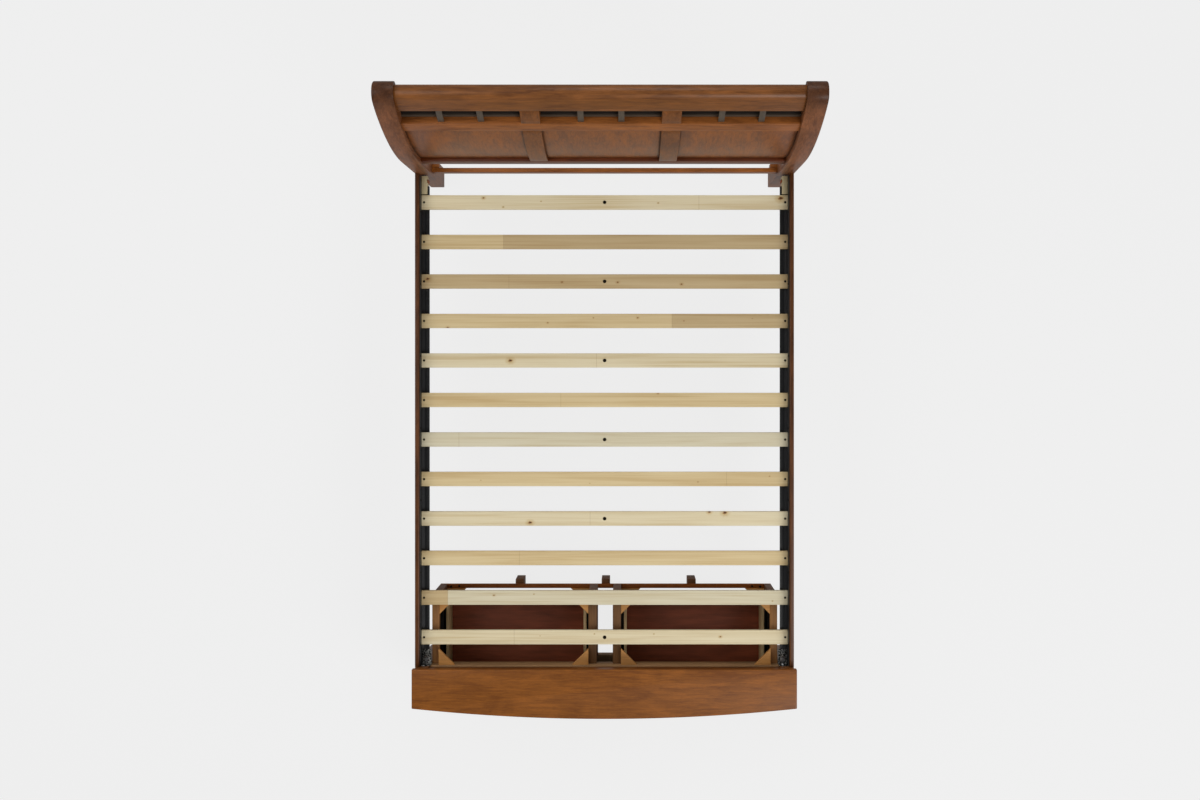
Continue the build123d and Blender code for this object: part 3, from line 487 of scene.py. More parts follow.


# %% [markdown]
# ## Metal
# The ledges, slides and slot bars are steel with a black finish, the brackets are bright zinc plate with
# its cloudy crystals and painted glints, and the bolts of the cleats are washed with copper.


# %% Painted and plated steel
def coated_steel(name, colour, roughness, spread=0.08):
    """Steel under black powder coat, which has a faint orange-peel texture."""
    material, tree, shader, place = new_material(name)
    peel = add(tree, "ShaderNodeTexNoise", {"Vector": place, "Scale": 1 / (2.5 * MM), "Detail": 2.0})
    dust = add(tree, "ShaderNodeTexNoise", {"Vector": place, "Scale": 1 / (60 * MM), "Detail": 4.0})
    rough = add(tree, "ShaderNodeMapRange", {"Value": dust.outputs["Fac"], "To Min": roughness - spread,
                                             "To Max": roughness + spread})
    bump = add(tree, "ShaderNodeBump", {"Height": peel.outputs["Fac"], "Strength": 0.2,
                                        "Distance": 0.2 * MM})
    tree.links.new(rough.outputs[0], shader.inputs["Roughness"])
    tree.links.new(bump.outputs[0], shader.inputs["Normal"])
    shader.inputs["Base Color"].default_value = linear(colour)
    shader.inputs["IOR"].default_value = 1.5
    return material


def bare_metal(name, dark, pale, roughness, cloud, contrast=0.16):
    """Plated or blackened steel, with a cloudy tone of a given size in millimetres."""
    material, tree, shader, place = new_material(name)
    clouds = add(tree, "ShaderNodeTexNoise", {"Vector": place, "Scale": 1 / (cloud * MM), "Detail": 4.0,
                                              "Roughness": 0.65})
    colour = add(tree, "ShaderNodeValToRGB", {"Fac": clouds.outputs["Fac"]},
                 stops=[(0.52 - contrast, dark), (0.52 + contrast, pale)])
    rough = add(tree, "ShaderNodeMapRange", {"Value": clouds.outputs["Fac"], "To Min": roughness - 0.08,
                                             "To Max": roughness + 0.08})
    tree.links.new(colour.outputs[0], shader.inputs["Base Color"])
    tree.links.new(rough.outputs[0], shader.inputs["Roughness"])
    shader.inputs["Metallic"].default_value = 1.0
    return material


# %% [markdown]
# ## Boards with eased edges
# A joiner breaks every edge with sandpaper, so real boards catch a thin line of light along
# it. Each wooden or steel node is copied, the copy's loose triangles are merged, its flat
# faces are cleaned, and a bevel of about a millimetre rounds the edges. The copy then stands
# for the node.


# %% Ease a node's edges
def along_curve(place):
    """Distance along the headboard's curve of a place in millimetres, and depth behind it."""
    reach = (HEAD_PLANE + SWEEP_RADIUS) / MM - place.y
    rise = place.z - SPRING_HEIGHT / MM
    return (math.atan2(rise, reach) * SWEEP_RADIUS / MM, SWEEP_RADIUS / MM - math.hypot(rise, reach))


def nudge(piece, test, by):
    """Move the vertices whose places in millimetres pass a test."""
    only(piece)
    bpy.ops.object.mode_set(mode="EDIT")
    bpy.ops.mesh.select_mode(type="VERT")
    bpy.ops.mesh.select_all(action="DESELECT")
    bpy.ops.object.mode_set(mode="OBJECT")
    for vertex in piece.data.vertices:
        vertex.select = bool(test(vertex.co / MM))
    bpy.ops.object.mode_set(mode="EDIT")
    bpy.ops.transform.translate(value=tuple(Vector(by) * MM))
    bpy.ops.object.mode_set(mode="OBJECT")


def eased(name, edge, segments=2, crease=28, nudges=()):
    """Copy of a node, touched up and then with its edges rounded by an amount in millimetres."""
    piece = bpy.data.objects.new(name + "_eased", nodes[name].data.copy())
    bpy.context.scene.collection.objects.link(piece)
    only(piece)
    bpy.ops.object.mode_set(mode="EDIT")
    bpy.ops.mesh.select_all(action="SELECT")
    bpy.ops.mesh.remove_doubles(threshold=0.01 * MM)
    bpy.ops.mesh.dissolve_limited(angle_limit=math.radians(0.1))
    bpy.ops.object.mode_set(mode="OBJECT")
    if piece.data.has_custom_normals:
        bpy.ops.mesh.customdata_custom_splitnormals_clear()
    for test, by in nudges:
        nudge(piece, test, by)
    modify(piece, "BEVEL", width=edge * MM, segments=segments, limit_method="ANGLE",
           angle_limit=math.radians(crease), use_clamp_overlap=True)
    soften(piece)
    return piece


def planed(name, low, high, edge):
    """Square block between two corners in millimetres, with its edges broken."""
    low, high = Vector(low) * MM, Vector(high) * MM
    bpy.ops.mesh.primitive_cube_add(size=1)
    board = bpy.context.object
    board.name = name
    settle(board, Matrix.Translation((low + high) / 2) @ Matrix.Diagonal((*(high - low), 1.0)))
    modify(board, "BEVEL", width=edge * MM, segments=3, limit_method="ANGLE", angle_limit=0.5)
    soften(board)
    return board


def dress(piece, material, *names):
    """Give a piece its finish, and let it stand for nodes of one body."""
    piece.data.materials.clear()
    piece.data.materials.append(material)
    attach(piece, body_of[names[0]])
    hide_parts(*names)


# %% [markdown]
# The photograph shows the slot row a few millimetres higher than the solids have it, with its
# dark back deeper and its bars further forward. The copies are nudged there along the curve.

# %% Slot row as it shows in the photograph
# Places are along the curve and behind the front face. A nudge is a test of which vertices
# move, and how far, in millimetres.
CREST_FOOT, MID_RAIL_TOP, STRIP_DEPTH, STRIP_GAP, NEAR = 565.5, 471.0, 31, 6, 2
CREST_RISE, MID_RAIL_RISE, STRIP_RISE, SLOT_DEEPER, BARS_FORWARD = 9, 5, 8, 7, 5
TURN = CREST_FOOT * MM / SWEEP_RADIUS
UP_CURVE = Vector((0, math.sin(TURN), math.cos(TURN)))
INTO_CURVE = Vector((0, math.cos(TURN), -math.sin(TURN)))
slot_row = [(lambda v: abs(along_curve(v)[0] - CREST_FOOT) < NEAR, UP_CURVE * CREST_RISE),
            (lambda v: abs(along_curve(v)[0] - MID_RAIL_TOP) < NEAR, UP_CURVE * MID_RAIL_RISE)]
deeper = [(lambda v: True, INTO_CURVE * SLOT_DEEPER)]
strips_and_bars = [(lambda v: along_curve(v)[1] > STRIP_DEPTH
                    and along_curve(v)[0] > MID_RAIL_TOP + STRIP_GAP, UP_CURVE * STRIP_RISE),
                   (lambda v: along_curve(v)[1] > STRIP_DEPTH, INTO_CURVE * SLOT_DEEPER),
                   (lambda v: along_curve(v)[1] < STRIP_DEPTH, INTO_CURVE * -BARS_FORWARD)]
print("slot row nudges:", len(slot_row + deeper + strips_and_bars))

# %% [markdown]
# The headboard is a frame of posts, rails and stiles with three veneered panels let into
# grooves, all bent to one arc. The solids have that arc already, so eased copies are enough.
# Only the glue blocks behind the stretcher's ends are modelled here.

# %% Headboard
POST_INNER = 728
STILE_EDGES = (221, 291)
STRETCHER_BACK = 4
GLUE_WIDTH, GLUE_DEPTH, GLUE_DROP = 30, 18, 6
# The posts' tops get painted shade in their colour.
for side, shift in (("left", 0.3), ("right", 2.1)):
    dress(eased(f"headboard_post_{side}", 2.0),
          stained_hardwood(f"stained_post_{side}", "Z", "#78492B", shift, True, painted_shade_top=True, sheen=0.2),
          f"headboard_post_{side}")
for name, grain, tone, shift, nudges in (
        ("crest_rail", "X", "#70421A", 0.9, slot_row), ("mid_rail", "X", "#874F22", 4.2, slot_row[1:]),
        ("headboard_bottom_rail", "X", "#5C2A0D", 5.6, []),
        ("headboard_stiles", "Z", "#6E3F18", 7.7, slot_row)):
    dress(eased(name, 1.2, nudges=nudges), stained_hardwood(f"stained_{name}", grain, tone, shift, True),
          name)
low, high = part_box("headboard_stretcher")
stretcher = [eased("headboard_stretcher", 1.2, nudges=[(lambda v: True, (0, STRETCHER_BACK, 0))])]
for side in (-1, 1):
    left, right = sorted((side * (POST_INNER - GLUE_WIDTH), side * POST_INNER))
    stretcher.append(planed("glue_block", (left, high.y / MM + STRETCHER_BACK, low.z / MM),
                            (right, high.y / MM + (STRETCHER_BACK + GLUE_DEPTH),
                             high.z / MM - GLUE_DROP), 1.5))
dress(join(stretcher, "stretcher_with_glue_blocks"),
      stained_hardwood("stained_headboard_stretcher", "X", "#844B19", 8.8, True), "headboard_stretcher")
for name, shift, bay in (("panel_left", 10.3, (-POST_INNER, -STILE_EDGES[1])),
                         ("panel_centre", 12.6, (-STILE_EDGES[0], STILE_EDGES[0])),
                         ("panel_right", 14.9, (STILE_EDGES[1], POST_INNER))):
    veneer = stained_hardwood(f"veneer_{name}", "Z", "#7C4411", shift, True, bay, sheen=0.48)
    dress(eased(name, 0.8), veneer, name)
dress(eased("slot_backs", 0.8, nudges=slot_row + deeper),
      bare_wood("black_stained_board", "X", "#17110C"), "slot_backs")
dress(eased("slot_bars", 0.8, nudges=slot_row + strips_and_bars),
      coated_steel("dark_powder_coat", "#4A4036", 0.42), "slot_bars")
print("headboard dressed")

# %% [markdown]
# At the head end each ledge's flat stops short of the post, and its upstand runs on behind a
# pine cleat, which sits on the flat and is notched over its end.

# %% Sides and ledges
head = HEAD_PLANE / MM
ledge_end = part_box("slat_ledge_left")[1].y / MM
SLAT_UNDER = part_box("slat_01")[0].z / MM
CLEAT_FACE, CLEAT_BACK, CLEAT_BOTTOM, CLEAT_TOP = 746, 769.4, 390, 448
CLEAT_GAP, CLEAT_FOOT, CLEAT_LENGTH, CLEAT_LAP = 5, 42, 77, 2
ABOVE_FLAT = SLAT_UNDER + 1
longer_ledge = [(lambda v: v.y > ledge_end - NEAR and v.z > ABOVE_FLAT,
                 (0, head - CLEAT_GAP - ledge_end, 0)),
                (lambda v: abs(v.y - ledge_end) < NEAR and v.z < ABOVE_FLAT,
                 (0, head - CLEAT_GAP - CLEAT_FOOT - ledge_end, 0))]
for side, shift in (("left", 16.2), ("right", 18.4)):
    name = f"side_rail_{side}"
    dress(eased(name, 1.0), stained_hardwood(f"stained_{name}", "Y", "#532E10", shift), name)
    name = f"slat_ledge_{side}"
    dress(eased(name, 0.6, nudges=longer_ledge), coated_steel(f"black_powder_coat_{side}", "#151618", 0.45),
          name)
cleats = []
for side in (-1, 1):
    left, right = sorted((side * CLEAT_FACE, side * CLEAT_BACK))
    cleats.append(planed("cleat", (left, head - (CLEAT_GAP + CLEAT_LENGTH), SLAT_UNDER),
                         (right, head - CLEAT_GAP, CLEAT_TOP), 1.5))
    cleats.append(planed("cleat_foot", (left, head - CLEAT_GAP - CLEAT_FOOT, CLEAT_BOTTOM),
                         (right, head - CLEAT_GAP, SLAT_UNDER + CLEAT_LAP), 1.5))
dress(join(cleats, "notched_cleats"), bare_wood("raw_pine_cleats", "Y", "#B5A682"), "head_cleats")
print("ledge ends at", round(ledge_end, 1), "and its upstand at", round(head - CLEAT_GAP, 1))

# %% [markdown]
# ## Turned pieces
# Knobs, bolts and screws start as a disc. Each step of a profile extrudes the last face and
# scales it to the next radius, as a lathe would cut it. A profile lists radius and height in
# millimetres, from the bottom up. Each kind is modelled once and copied to its places.


# %% Turn a profile
def turned(name, profile, sides=32):
    """Solid turned about Z from a list of (radius, height); few sides make a nut."""
    radius, height = profile[0]
    bpy.ops.mesh.primitive_circle_add(vertices=sides, radius=radius * MM, fill_type="NGON",
                                      location=(0, 0, height * MM))
    piece = only(bpy.context.object)
    piece.name = name
    bpy.ops.object.transform_apply(location=True, rotation=True, scale=True)
    bpy.ops.object.mode_set(mode="EDIT")
    bpy.ops.mesh.select_all(action="SELECT")
    for next_radius, next_height in profile[1:]:
        rise = (next_height - height) * MM
        bpy.ops.mesh.extrude_region_move(TRANSFORM_OT_translate={"value": (0, 0, rise)})
        share = next_radius / radius
        bpy.ops.transform.resize(value=(share, share, 1))
        radius, height = next_radius, next_height
    bpy.ops.mesh.select_all(action="SELECT")
    bpy.ops.mesh.normals_make_consistent(inside=False)
    bpy.ops.object.mode_set(mode="OBJECT")
    return piece


def cut(piece, *cutters):
    """Cut pieces out of another, and remove what cut it."""
    for cutter in cutters:
        modify(piece, "BOOLEAN", object=cutter, operation="DIFFERENCE", solver="EXACT")
    remove(*cutters)


def cross_recess(head_height):
    """Two crossed bars that cut a cross recess in a screw head."""
    bars = []
    for turn in (0, 90):
        bar = turned("recess", [(1.2, head_height - 1.6), (2.4, head_height + 0.5)], 4)
        settle(bar, Matrix.Rotation(math.radians(turn), 4, "Z") @ Matrix.Diagonal((1.0, 0.35, 1.0, 1.0))
               @ Matrix.Rotation(math.radians(45), 4, "Z"))
        bars.append(bar)
    return bars


def socket_recess(radius, head_height, depth):
    """Hexagonal socket that is cut in a bolt head."""
    return turned("socket", [(radius, head_height - depth), (radius, head_height + 0.5)], 6)


# %% [markdown]
# The slats are held by sunk screws, and the ledges and the base blocks by pan-headed ones. All
# have a cross recess, which darkens the middle of the head. They are black oxide steel, which
# looks almost black with a faint warm cloud in it.

# %% Screws in the slats, the ledges and the base blocks
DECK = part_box("slat_01")[1].z / MM
SLAT_SCREW_X = 758.5
LEDGE_SCREW_X = 769.5
LEDGE_SCREW_Z, LEDGE_SCREW_INSET, LEDGE_SCREWS = 471, 90, 7
slat_y = {number: (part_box(f"slat_{number:02d}")[0].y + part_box(f"slat_{number:02d}")[1].y) / 2 / MM
          for number in range(1, 13)}
foot_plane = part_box("slat_ledge_left")[0].y / MM
ledge_screw_low = foot_plane + LEDGE_SCREW_INSET
ledge_screw_high = ledge_end - LEDGE_SCREW_INSET

sunk_screw = turned("sunk_screw", [(1.2, -20.8), (1.9, -18.0), (1.9, -3.0), (4.8, -0.35), (4.9, 0.0)])
cut(sunk_screw, *cross_recess(0))
pan_screw = turned("pan_screw", [(1.2, -13.8), (1.9, -11.0), (1.9, 0.0), (4.9, 0.0), (4.9, 0.9),
                                 (4.3, 2.0), (3.0, 2.7), (1.6, 2.95)])
cut(pan_screw, *cross_recess(2.95))
BASE_SCREWS = ((681, -745), (645, -743))
base_block_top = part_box("storage_base_frame")[1].z / MM
screws = [copy_to(sunk_screw, facing((side * SLAT_SCREW_X, y, DECK), (0, 0, 1)))
          for y in slat_y.values() for side in (-1, 1)]
for step in range(LEDGE_SCREWS):
    y = ledge_screw_low + (ledge_screw_high - ledge_screw_low) * step / (LEDGE_SCREWS - 1)
    screws += [copy_to(pan_screw, facing((side * LEDGE_SCREW_X, y, LEDGE_SCREW_Z), (-side, 0, 0)))
               for side in (-1, 1)]
screws += [copy_to(pan_screw, facing((side * x, y, base_block_top), (0, 0, 1)))
           for x, y in BASE_SCREWS for side in (-1, 1)]
print("screws:", len(screws))
screws = join(screws, "screws")
soften(screws)
blackened = bare_metal("black_oxide_screws", "#14110E", "#3A332B", 0.45, 6)
dress(screws, blackened, "wood_screws")

# %% [markdown]
# Every second slat or so has a bolt for a centre leg. Its thread is drawn as rings instead of
# a helix, since the pitch is too fine to tell the two apart in the picture.

# %% Bolts in the middle of some slats, each with its washer, its nut and a threaded stud
BOLTED_SLATS = (1, 3, 5, 7, 9, 12)
THREAD_PITCH = 1.25
stud_end, nut_under = -47, -27.1
thread = []
height = stud_end + 0.6
while height < nut_under - THREAD_PITCH:
    thread += [(4.0, height), (3.55, height + THREAD_PITCH / 2)]
    height += THREAD_PITCH
centre_bolt = turned("centre_bolt", [(3.3, stud_end)] + thread
                     + [(4.0, nut_under), (4.0, 0.0), (7.4, 0.0), (7.4, 0.9), (6.6, 2.0), (4.8, 2.9)])
cut(centre_bolt, socket_recess(2.6, 2.9, 1.8))
washer = turned("washer", [(9.6, -20.6), (9.9, -20.3), (9.9, -19.3), (9.6, -19.0)])
nut = turned("nut", [(6.6, -27.1), (7.4, -26.4), (7.4, -21.3), (6.6, -20.6)], 6)
centre_bolt = join([centre_bolt, washer, nut], "centre_bolt_with_nut")
bolts = join([copy_to(centre_bolt, facing((0, slat_y[number], DECK), (0, 0, 1)))
              for number in BOLTED_SLATS], "centre_bolts_turned")
soften(bolts)
dress(bolts, blackened, "centre_bolts")
print("centre bolts:", len(BOLTED_SLATS))

# %% [markdown]
# Two socket bolts hold each cleat to its rail. They have a thin copper wash, so they are a warm
# red metal, a little cloudy where the wash has dulled.

# %% Copper-washed bolts through the cleats
CLEAT_BOLT_HEIGHTS = (404, 436)
CLEAT_BOLT_Y = head - CLEAT_GAP - CLEAT_FOOT / 2
cleat_bolt = turned("cleat_bolt", [(3.4, -37.8), (4.0, -36.8), (4.0, 0.0), (7.9, 0.0), (7.9, 2.2),
                                   (6.8, 4.0), (4.6, 4.9)])
cut(cleat_bolt, socket_recess(2.8, 4.9, 2.6))
bolts = join([copy_to(cleat_bolt, facing((side * CLEAT_FACE, CLEAT_BOLT_Y, height), (-side, 0, 0)))
              for side in (-1, 1) for height in CLEAT_BOLT_HEIGHTS], "cleat_bolts_turned")
soften(bolts)
dress(bolts, bare_metal("copper_washed_steel", "#7A3B1E", "#B5683C", 0.35, 8), "cleat_bolts")
print("cleat bolts:", 2 * len(CLEAT_BOLT_HEIGHTS))

# %% [markdown]
# The ledges meet the footboard on zinc-plated brackets. Their colour runs from near black to pale grey over
# a few millimetres: partly the zinc's spangle, and partly painted glints, pale flecks that stand in for
# highlights.

# %% Brackets at the foot, with their bolts
BRACKET_BOLT_X, BRACKET_TOP, LAG_Z = 749, 434, 454
BRACKET_BOLT_INSET, LAG_INSET = 19, 3
# Painted glints: the pale flecks in the zinc's colour stand in for highlights
zinc = bare_metal("zinc_plate_with_painted_glints", "#1C1A17", "#B9B9B4", 0.34, 5, 0.06)
dress(eased("rail_brackets", 0.6), zinc, "rail_brackets")
hex_head = [(6.6, 0.0), (7.45, 0.5), (7.45, 4.2), (6.6, 4.9)]
shank = turned("shank", [(3.4, -32.8), (4.0, -31.8), (4.0, 0.1)])
lag_bolt = join([turned("lag_head", hex_head, 6), shank], "lag_bolt")
head = turned("bolt_head", [(radius, height + 1.6) for radius, height in hex_head], 6)
collar = turned("bolt_collar", [(9.1, 0.0), (9.4, 0.3), (9.4, 1.3), (9.1, 1.6)])
shank = turned("bolt_shank", [(4.0, -5.1), (4.0, 0.1)])
nut = turned("bolt_nut", [(6.6, -11.5), (7.4, -10.9), (7.4, -5.6), (6.6, -5.0)], 6)
bracket_bolt = join([head, collar, shank, nut], "bracket_bolt")
bolt_y = foot_plane + BRACKET_BOLT_INSET
bolts = [copy_to(bracket_bolt, facing((side * BRACKET_BOLT_X, bolt_y, BRACKET_TOP), (0, 0, 1)))
         for side in (-1, 1)]
bolts += [copy_to(lag_bolt, facing((side * BRACKET_BOLT_X, foot_plane + LAG_INSET, LAG_Z), (0, 1, 0)))
          for side in (-1, 1)]
bolts = join(bolts, "bracket_bolts_turned")
soften(bolts)
dress(bolts, bare_metal("bright_zinc_plate", "#7E8184", "#C4C7C9", 0.30, 9), "bracket_bolts")
print("bracket bolts and lag bolts: 4")
remove(sunk_screw, pan_screw, centre_bolt, cleat_bolt, lag_bolt, bracket_bolt)

# %% [markdown]
# ## Slats
# A slat is planed square, its long edges are broken, and it is drilled: a countersunk hole at
# each end, and a plain hole in the middle of every one that carries a bolt.

# %% Model and drill the slats
# Each slat has its own tone, joints and knots, in millimetres from the bed's middle line.
SLAT_TIMBER = {
    1: ("pale", [(396, "pale")], [(-509, 18, 7), (-426, -20, 4), (-267, 4, 3), (225, -3, 4),
                                  (740, 16, 16)]),
    2: ("warm", [(-425, "tan")], []),
    3: ("tan", [(-402, "tan")], [(-743, 10, 11), (-179, -3, 5), (55, -4, 6), (323, -12, 6)]),
    4: ("warm", [(283, "tan")], [(-239, -8, 4), (-47, 13, 3), (139, 13, 5), (-659, -28, 6),
                                 (333, 0, 3), (620, 10, 2)]),
    5: ("pale", [(-34, "pale")], [(-396, -1, 13)]),
    6: ("warm", [(-184, "warm")], [(224, 27, 4)]),
    7: ("grey", [(-612, "grey")], []),
    8: ("warm", [(512, "warm")], [(693, 12, 3), (-520, -5, 2), (-62, -18, 2), (392, -12, 3)]),
    9: ("pale", [(-61, "pale")], [(-313, -17, 12), (505, 24, 13), (440, 27, 9)]),
    10: ("warm", [(-358, "warm")], []),
    11: ("tan", [(-659, "grey")], [(-465, 10, 5), (-297, 15, 3), (705, -14, 3)]),
    12: ("pale", [(-380, "pale")], [(-271, 6, 2), (-43, 14, 3), (207, 14, 3), (486, 2, 6)]),
}


SLAT_REACH = 769.3


def slat_board(number):
    """One slat with its broken edges and its holes."""
    low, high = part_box(f"slat_{number:02d}")
    board = planed(f"slat_board_{number:02d}", (-SLAT_REACH, low.y / MM, low.z / MM),
                   (SLAT_REACH, high.y / MM, high.z / MM), 1.2)
    drills = []
    for side in (-1, 1):
        drill = turned("drill", [(2.1, -22), (2.1, -3.1), (5.3, 0.1), (5.3, 1.0)], 24)
        settle(drill, facing((side * SLAT_SCREW_X, slat_y[number], DECK), (0, 0, 1)))
        drills.append(drill)
    if number in BOLTED_SLATS:
        drill = turned("drill", [(4.2, -22), (4.2, 1.0)], 24)
        settle(drill, facing((0, slat_y[number], DECK), (0, 0, 1)))
        drills.append(drill)
    cut(board, *drills)
    soften(board)
    return board


for number, (tone, joints, knots) in SLAT_TIMBER.items():
    timber = raw_pine(f"raw_pine_{number:02d}", slat_y[number] * MM, tone, joints, knots, 1.7 * number)
    dress(slat_board(number), timber, f"slat_{number:02d}")
print("slats dressed:", len(SLAT_TIMBER))

# %% [markdown]
# ## Footboard and storage unit
# The top is a plank whose front is sawn to a long arc, so it is a block cut by a wide disc.
# Its corners are crisp, and its edges are rounded over.

# %% Bow-fronted top
BOW, SLAB_HALF, SLAB_REACH, OVERHANG = 42, 795, 797.5, 26
BOW_RADIUS = (SLAB_HALF**2 + BOW**2) / (2 * BOW)
bow_centre_y = cad_box[0].y / MM + BOW_RADIUS
low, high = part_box("footboard_top")
bpy.ops.mesh.primitive_cube_add(size=1)
slab = bpy.context.object
slab.name = "bowed_top"
settle(slab, Matrix.Translation((0, (low.y + high.y) / 2, (low.z + high.z) / 2))
       @ Matrix.Diagonal((2 * SLAB_REACH * MM, high.y - low.y, high.z - low.z, 1.0)))
bpy.ops.mesh.primitive_cylinder_add(vertices=1200, radius=BOW_RADIUS * MM, depth=0.2,
                                    location=(0, bow_centre_y * MM, high.z))
disc = bpy.context.object
modify(slab, "BOOLEAN", object=disc, operation="INTERSECT", solver="EXACT")
remove(disc)
modify(slab, "BEVEL", width=3.2 * MM, segments=4, limit_method="ANGLE", angle_limit=math.radians(40))
soften(slab)
dress(slab, stained_hardwood("stained_top", "X", "#7C4712", 21.5, figured=0.26), "footboard_top")
print("bow radius in millimetres:", round(BOW_RADIUS))

# %% [markdown]
# Under the top stand two panelled ends, an apron, a bottom rail and a stile between the two
# drawers. Behind it a stained rail sits on an unfinished one, and the photograph shows their
# seam higher than the solids have it, so the vertices there are nudged up in both.

# %% Rest of the footboard
CASE_SEAM, SEAM_RISE = 445, 17
seam_up = [(lambda v: abs(v.z - CASE_SEAM) < 1, (0, 0, SEAM_RISE))]
for name, grain, tone, shift in (("footboard_end_left", "Z", "#6A401C", 23.1),
                                 ("footboard_end_right", "Z", "#6A401C", 25.3),
                                 ("footboard_apron", "X", "#6F431C", 27.2),
                                 ("footboard_bottom_rail", "X", "#6A401C", 29.6),
                                 ("footboard_centre_stile", "Z", "#6A401C", 31.4)):
    dress(eased(name, 1.2), stained_hardwood(f"stained_{name}", grain, tone, shift), name)
dress(eased("footboard_back_rail", 1.2, nudges=seam_up),
      stained_hardwood("stained_back_rail", "X", "#683A12", 33.9), "footboard_back_rail")

# %% [markdown]
# The unit is toned but bare rubberwood, so it has streaks and no shine. Its legs and blocks are thicker in
# the photograph than in the solids, and the blocks at the foot sit higher. The slide boards are coloured
# near black as painted shade, for the deep shadow beside the drawers.

# %% Storage unit
LEG_TOP, LEG_HALF, LEG_MIDDLES = 126, 20, (-380, 0, 380)
LEG_GROWTH, LEG_FRONT_GROWTH, LEG_REAR_BAND = 3, 6, 15
LOW_BLOCK_TOP, HIGH_BLOCK_FOOT, BLOCK_GROWTH, BLOCK_RISE = 150, 380, 17, 30
BLOCK_DEPTH, FRONT_BLOCK_DEPTH = 80, 75
OUTER_BLOCKS, INNER_BLOCKS = (600, 640), (125, 145)
leg_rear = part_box("storage_uprights")[1].y / MM
base_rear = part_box("storage_base_frame")[1].y / MM
wider_legs = [(lambda v: v.z < LEG_TOP and v.y < leg_rear - LEG_REAR_BAND,
               (0, -LEG_FRONT_GROWTH, 0))]
for middle in LEG_MIDDLES:
    wider_legs += [(lambda v, m=middle: v.z < LEG_TOP and m < v.x < m + LEG_HALF, (LEG_GROWTH, 0, 0)),
                   (lambda v, m=middle: v.z < LEG_TOP and m - LEG_HALF < v.x < m, (-LEG_GROWTH, 0, 0))]
block_nudges = [(lambda v: v.z > HIGH_BLOCK_FOOT and v.y < foot_plane + FRONT_BLOCK_DEPTH,
                 (0, 0, BLOCK_RISE)),
                (lambda v: v.z < LOW_BLOCK_TOP and v.y < base_rear - BLOCK_DEPTH, (0, -BLOCK_GROWTH, 0))]
for side in (-1, 1):
    for (near, far), growth in ((OUTER_BLOCKS, -BLOCK_GROWTH), (INNER_BLOCKS, BLOCK_GROWTH)):
        block_nudges.append((lambda v, s=side, a=near, b=far: v.z < LOW_BLOCK_TOP and a < s * v.x < b,
                             (growth * side, 0, 0)))
# The slide boards' near-black colour is painted shade, for the deep shadow between the frame's outer rails
# and the drawer sides
for name, grain, tone, shift, inward, nudges in (
        ("storage_top_frame", "Y", "#845A30", 1.3, 0.5, []),
        ("storage_base_frame", "X", "#7C4108", 3.8, 0.0, []),
        ("storage_uprights", "Z", "#603C1E", 5.1, 0.0, wider_legs),
        ("slide_boards", "Y", "#120C08", 6.4, 0.0, []),
        ("case_rear_rails", "X", "#8E6C48", 8.2, 0.0, seam_up),
        ("corner_blocks", "X", "#B07C42", 9.9, 0.15, block_nudges)):
    dress(eased(name, 1.0, nudges=nudges), bare_wood(f"toned_{name}", grain, tone, shift, inward=inward),
          name)

# %% [markdown]
# A drawer has a stained front, pale poplar sides and back, and a thin plywood bottom with a
# reddish face, which is darker and glossier than the sides.

# %% Drawers
for side, shift in (("left", 41.2), ("right", 44.7)):
    dress(eased(f"drawer_front_{side}", 1.2),
          stained_hardwood(f"stained_front_{side}", "X", "#6F431C", shift), f"drawer_front_{side}")
    dress(eased(f"drawer_box_{side}", 1.0), bare_wood(f"poplar_box_{side}", "Y", "#B89E74", shift),
          f"drawer_box_{side}")
    dress(eased(f"drawer_bottom_{side}", 0.5),
          bare_wood(f"plywood_bottom_{side}", "X", "#804229", shift, 0.34, 0.014, 0.5),
          f"drawer_bottom_{side}")
print("unit and drawers dressed")

# %% [markdown]
# The knobs are cast and dark bronzed. The fronts are parts of an arc about the same centre as
# the top's, so each knob points away from that centre.

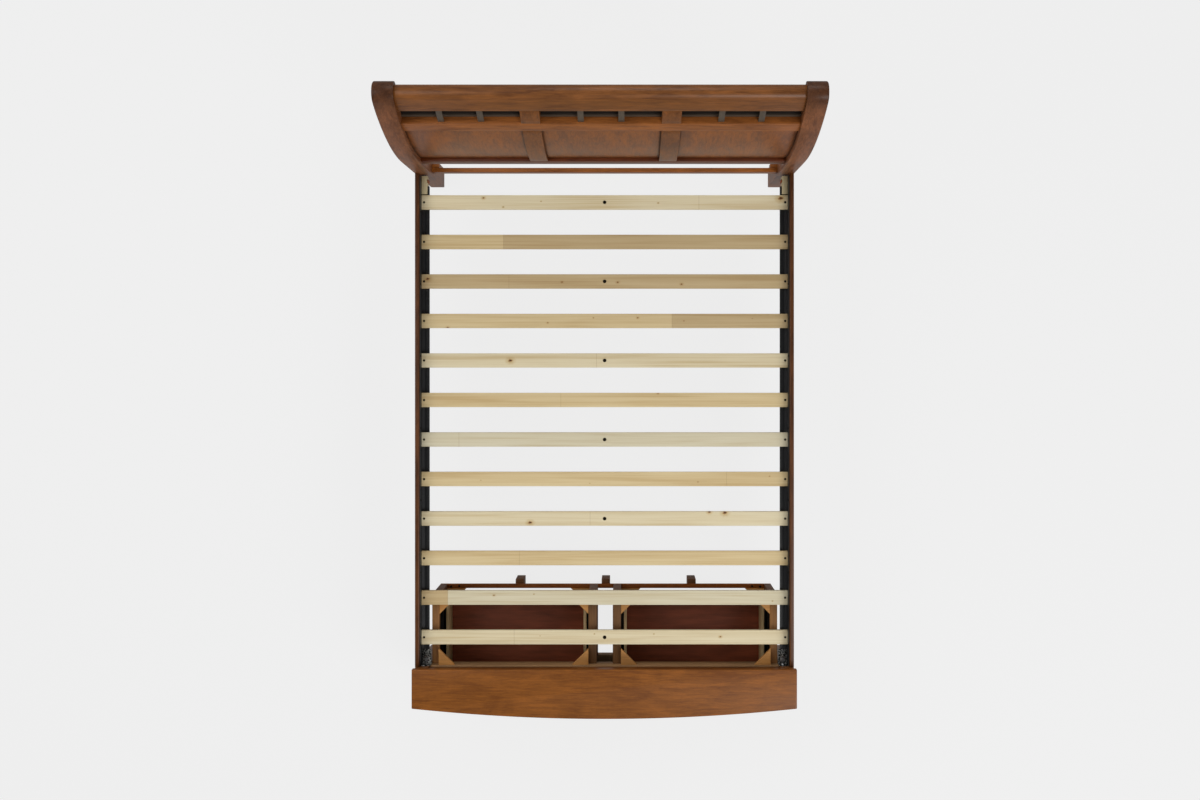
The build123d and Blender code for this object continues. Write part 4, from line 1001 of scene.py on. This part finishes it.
# %% Knobs, square to the bowed front
FRONT_RADIUS = BOW_RADIUS - OVERHANG
KNOB_FROM_MIDDLE, KNOB_HEIGHT = 170, 245
knob = turned("knob", [(9.6, 0.0), (9.9, 0.4), (9.9, 1.4), (8.7, 2.2), (7.2, 4.0), (6.5, 6.6), (6.8, 8.8),
                       (8.8, 11.2), (12.4, 13.4), (15.2, 15.6), (15.9, 17.6), (15.8, 19.6), (14.8, 21.4),
                       (13.9, 22.0), (13.4, 21.8), (10.6, 23.4), (6.4, 24.5), (2.0, 24.9)], 40)
bronze = bare_metal("dark_bronze", "#2A1D14", "#4A3626", 0.38, 12)
for side in ("left", "right"):
    low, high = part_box(f"drawer_box_{side}")
    middle = (low.x + high.x) / 2 / MM
    pair = []
    for x in (middle - KNOB_FROM_MIDDLE, middle + KNOB_FROM_MIDDLE):
        reach = math.sqrt(FRONT_RADIUS**2 - x**2)
        pair.append(copy_to(knob, facing((x, bow_centre_y - reach, KNOB_HEIGHT), (x, -reach, 0))))
    pair = join(pair, f"knobs_{side}")
    soften(pair, 40)
    dress(pair, bronze, f"drawer_knobs_{side}")
remove(knob)
print("front radius in millimetres:", round(FRONT_RADIUS))

# %% [markdown]
# ## Slides
# Each slide has three rolled members. Steel balls run between them, held at even steps by a
# cage at the rear of the outer race and another at the front of the inner race.

# %% Slides with their balls
rolled = coated_steel("black_oxide_steel", "#17181A", 0.34)
for name in ("slide_outer_members", "slide_inner_left", "slide_inner_right"):
    dress(eased(name, 0.3), rolled, name)
slide_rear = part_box("slide_outer_members")[1].y / MM
SLIDE_Z, SLIDE_WALLS = 216, (68.5, 698)
BALL_STEP, FIRST_BALL, BALLS_IN_CAGE = 13, 8, 9
# Each race is its distance from the wall, its height off the slide's middle, and its front end
RACES = ((5.95, 19.65, slide_rear - 125), (7.65, 15.15, slide_rear - 345))
ball = turned("ball", [(1.6 * math.sin(math.radians(angle)), -1.6 * math.cos(math.radians(angle)))
                       for angle in range(15, 166, 15)], 12)
soften(ball, 60)
for side, toward in (("left", -1), ("right", 1)):
    balls = []
    for wall, inward in ((toward * SLIDE_WALLS[0], toward), (toward * SLIDE_WALLS[1], -toward)):
        for off_wall, rise, front in RACES:
            for height in (SLIDE_Z - rise, SLIDE_Z + rise):
                balls += [copy_to(ball, facing((wall + inward * off_wall,
                                                front + FIRST_BALL + BALL_STEP * step, height), (0, 0, 1)))
                          for step in range(BALLS_IN_CAGE)]
    name = f"slide_middle_{side}"
    print(name, "balls:", len(balls))
    dress(join([eased(name, 0.3)] + balls, f"{name}_with_balls"), rolled, name)
remove(ball)
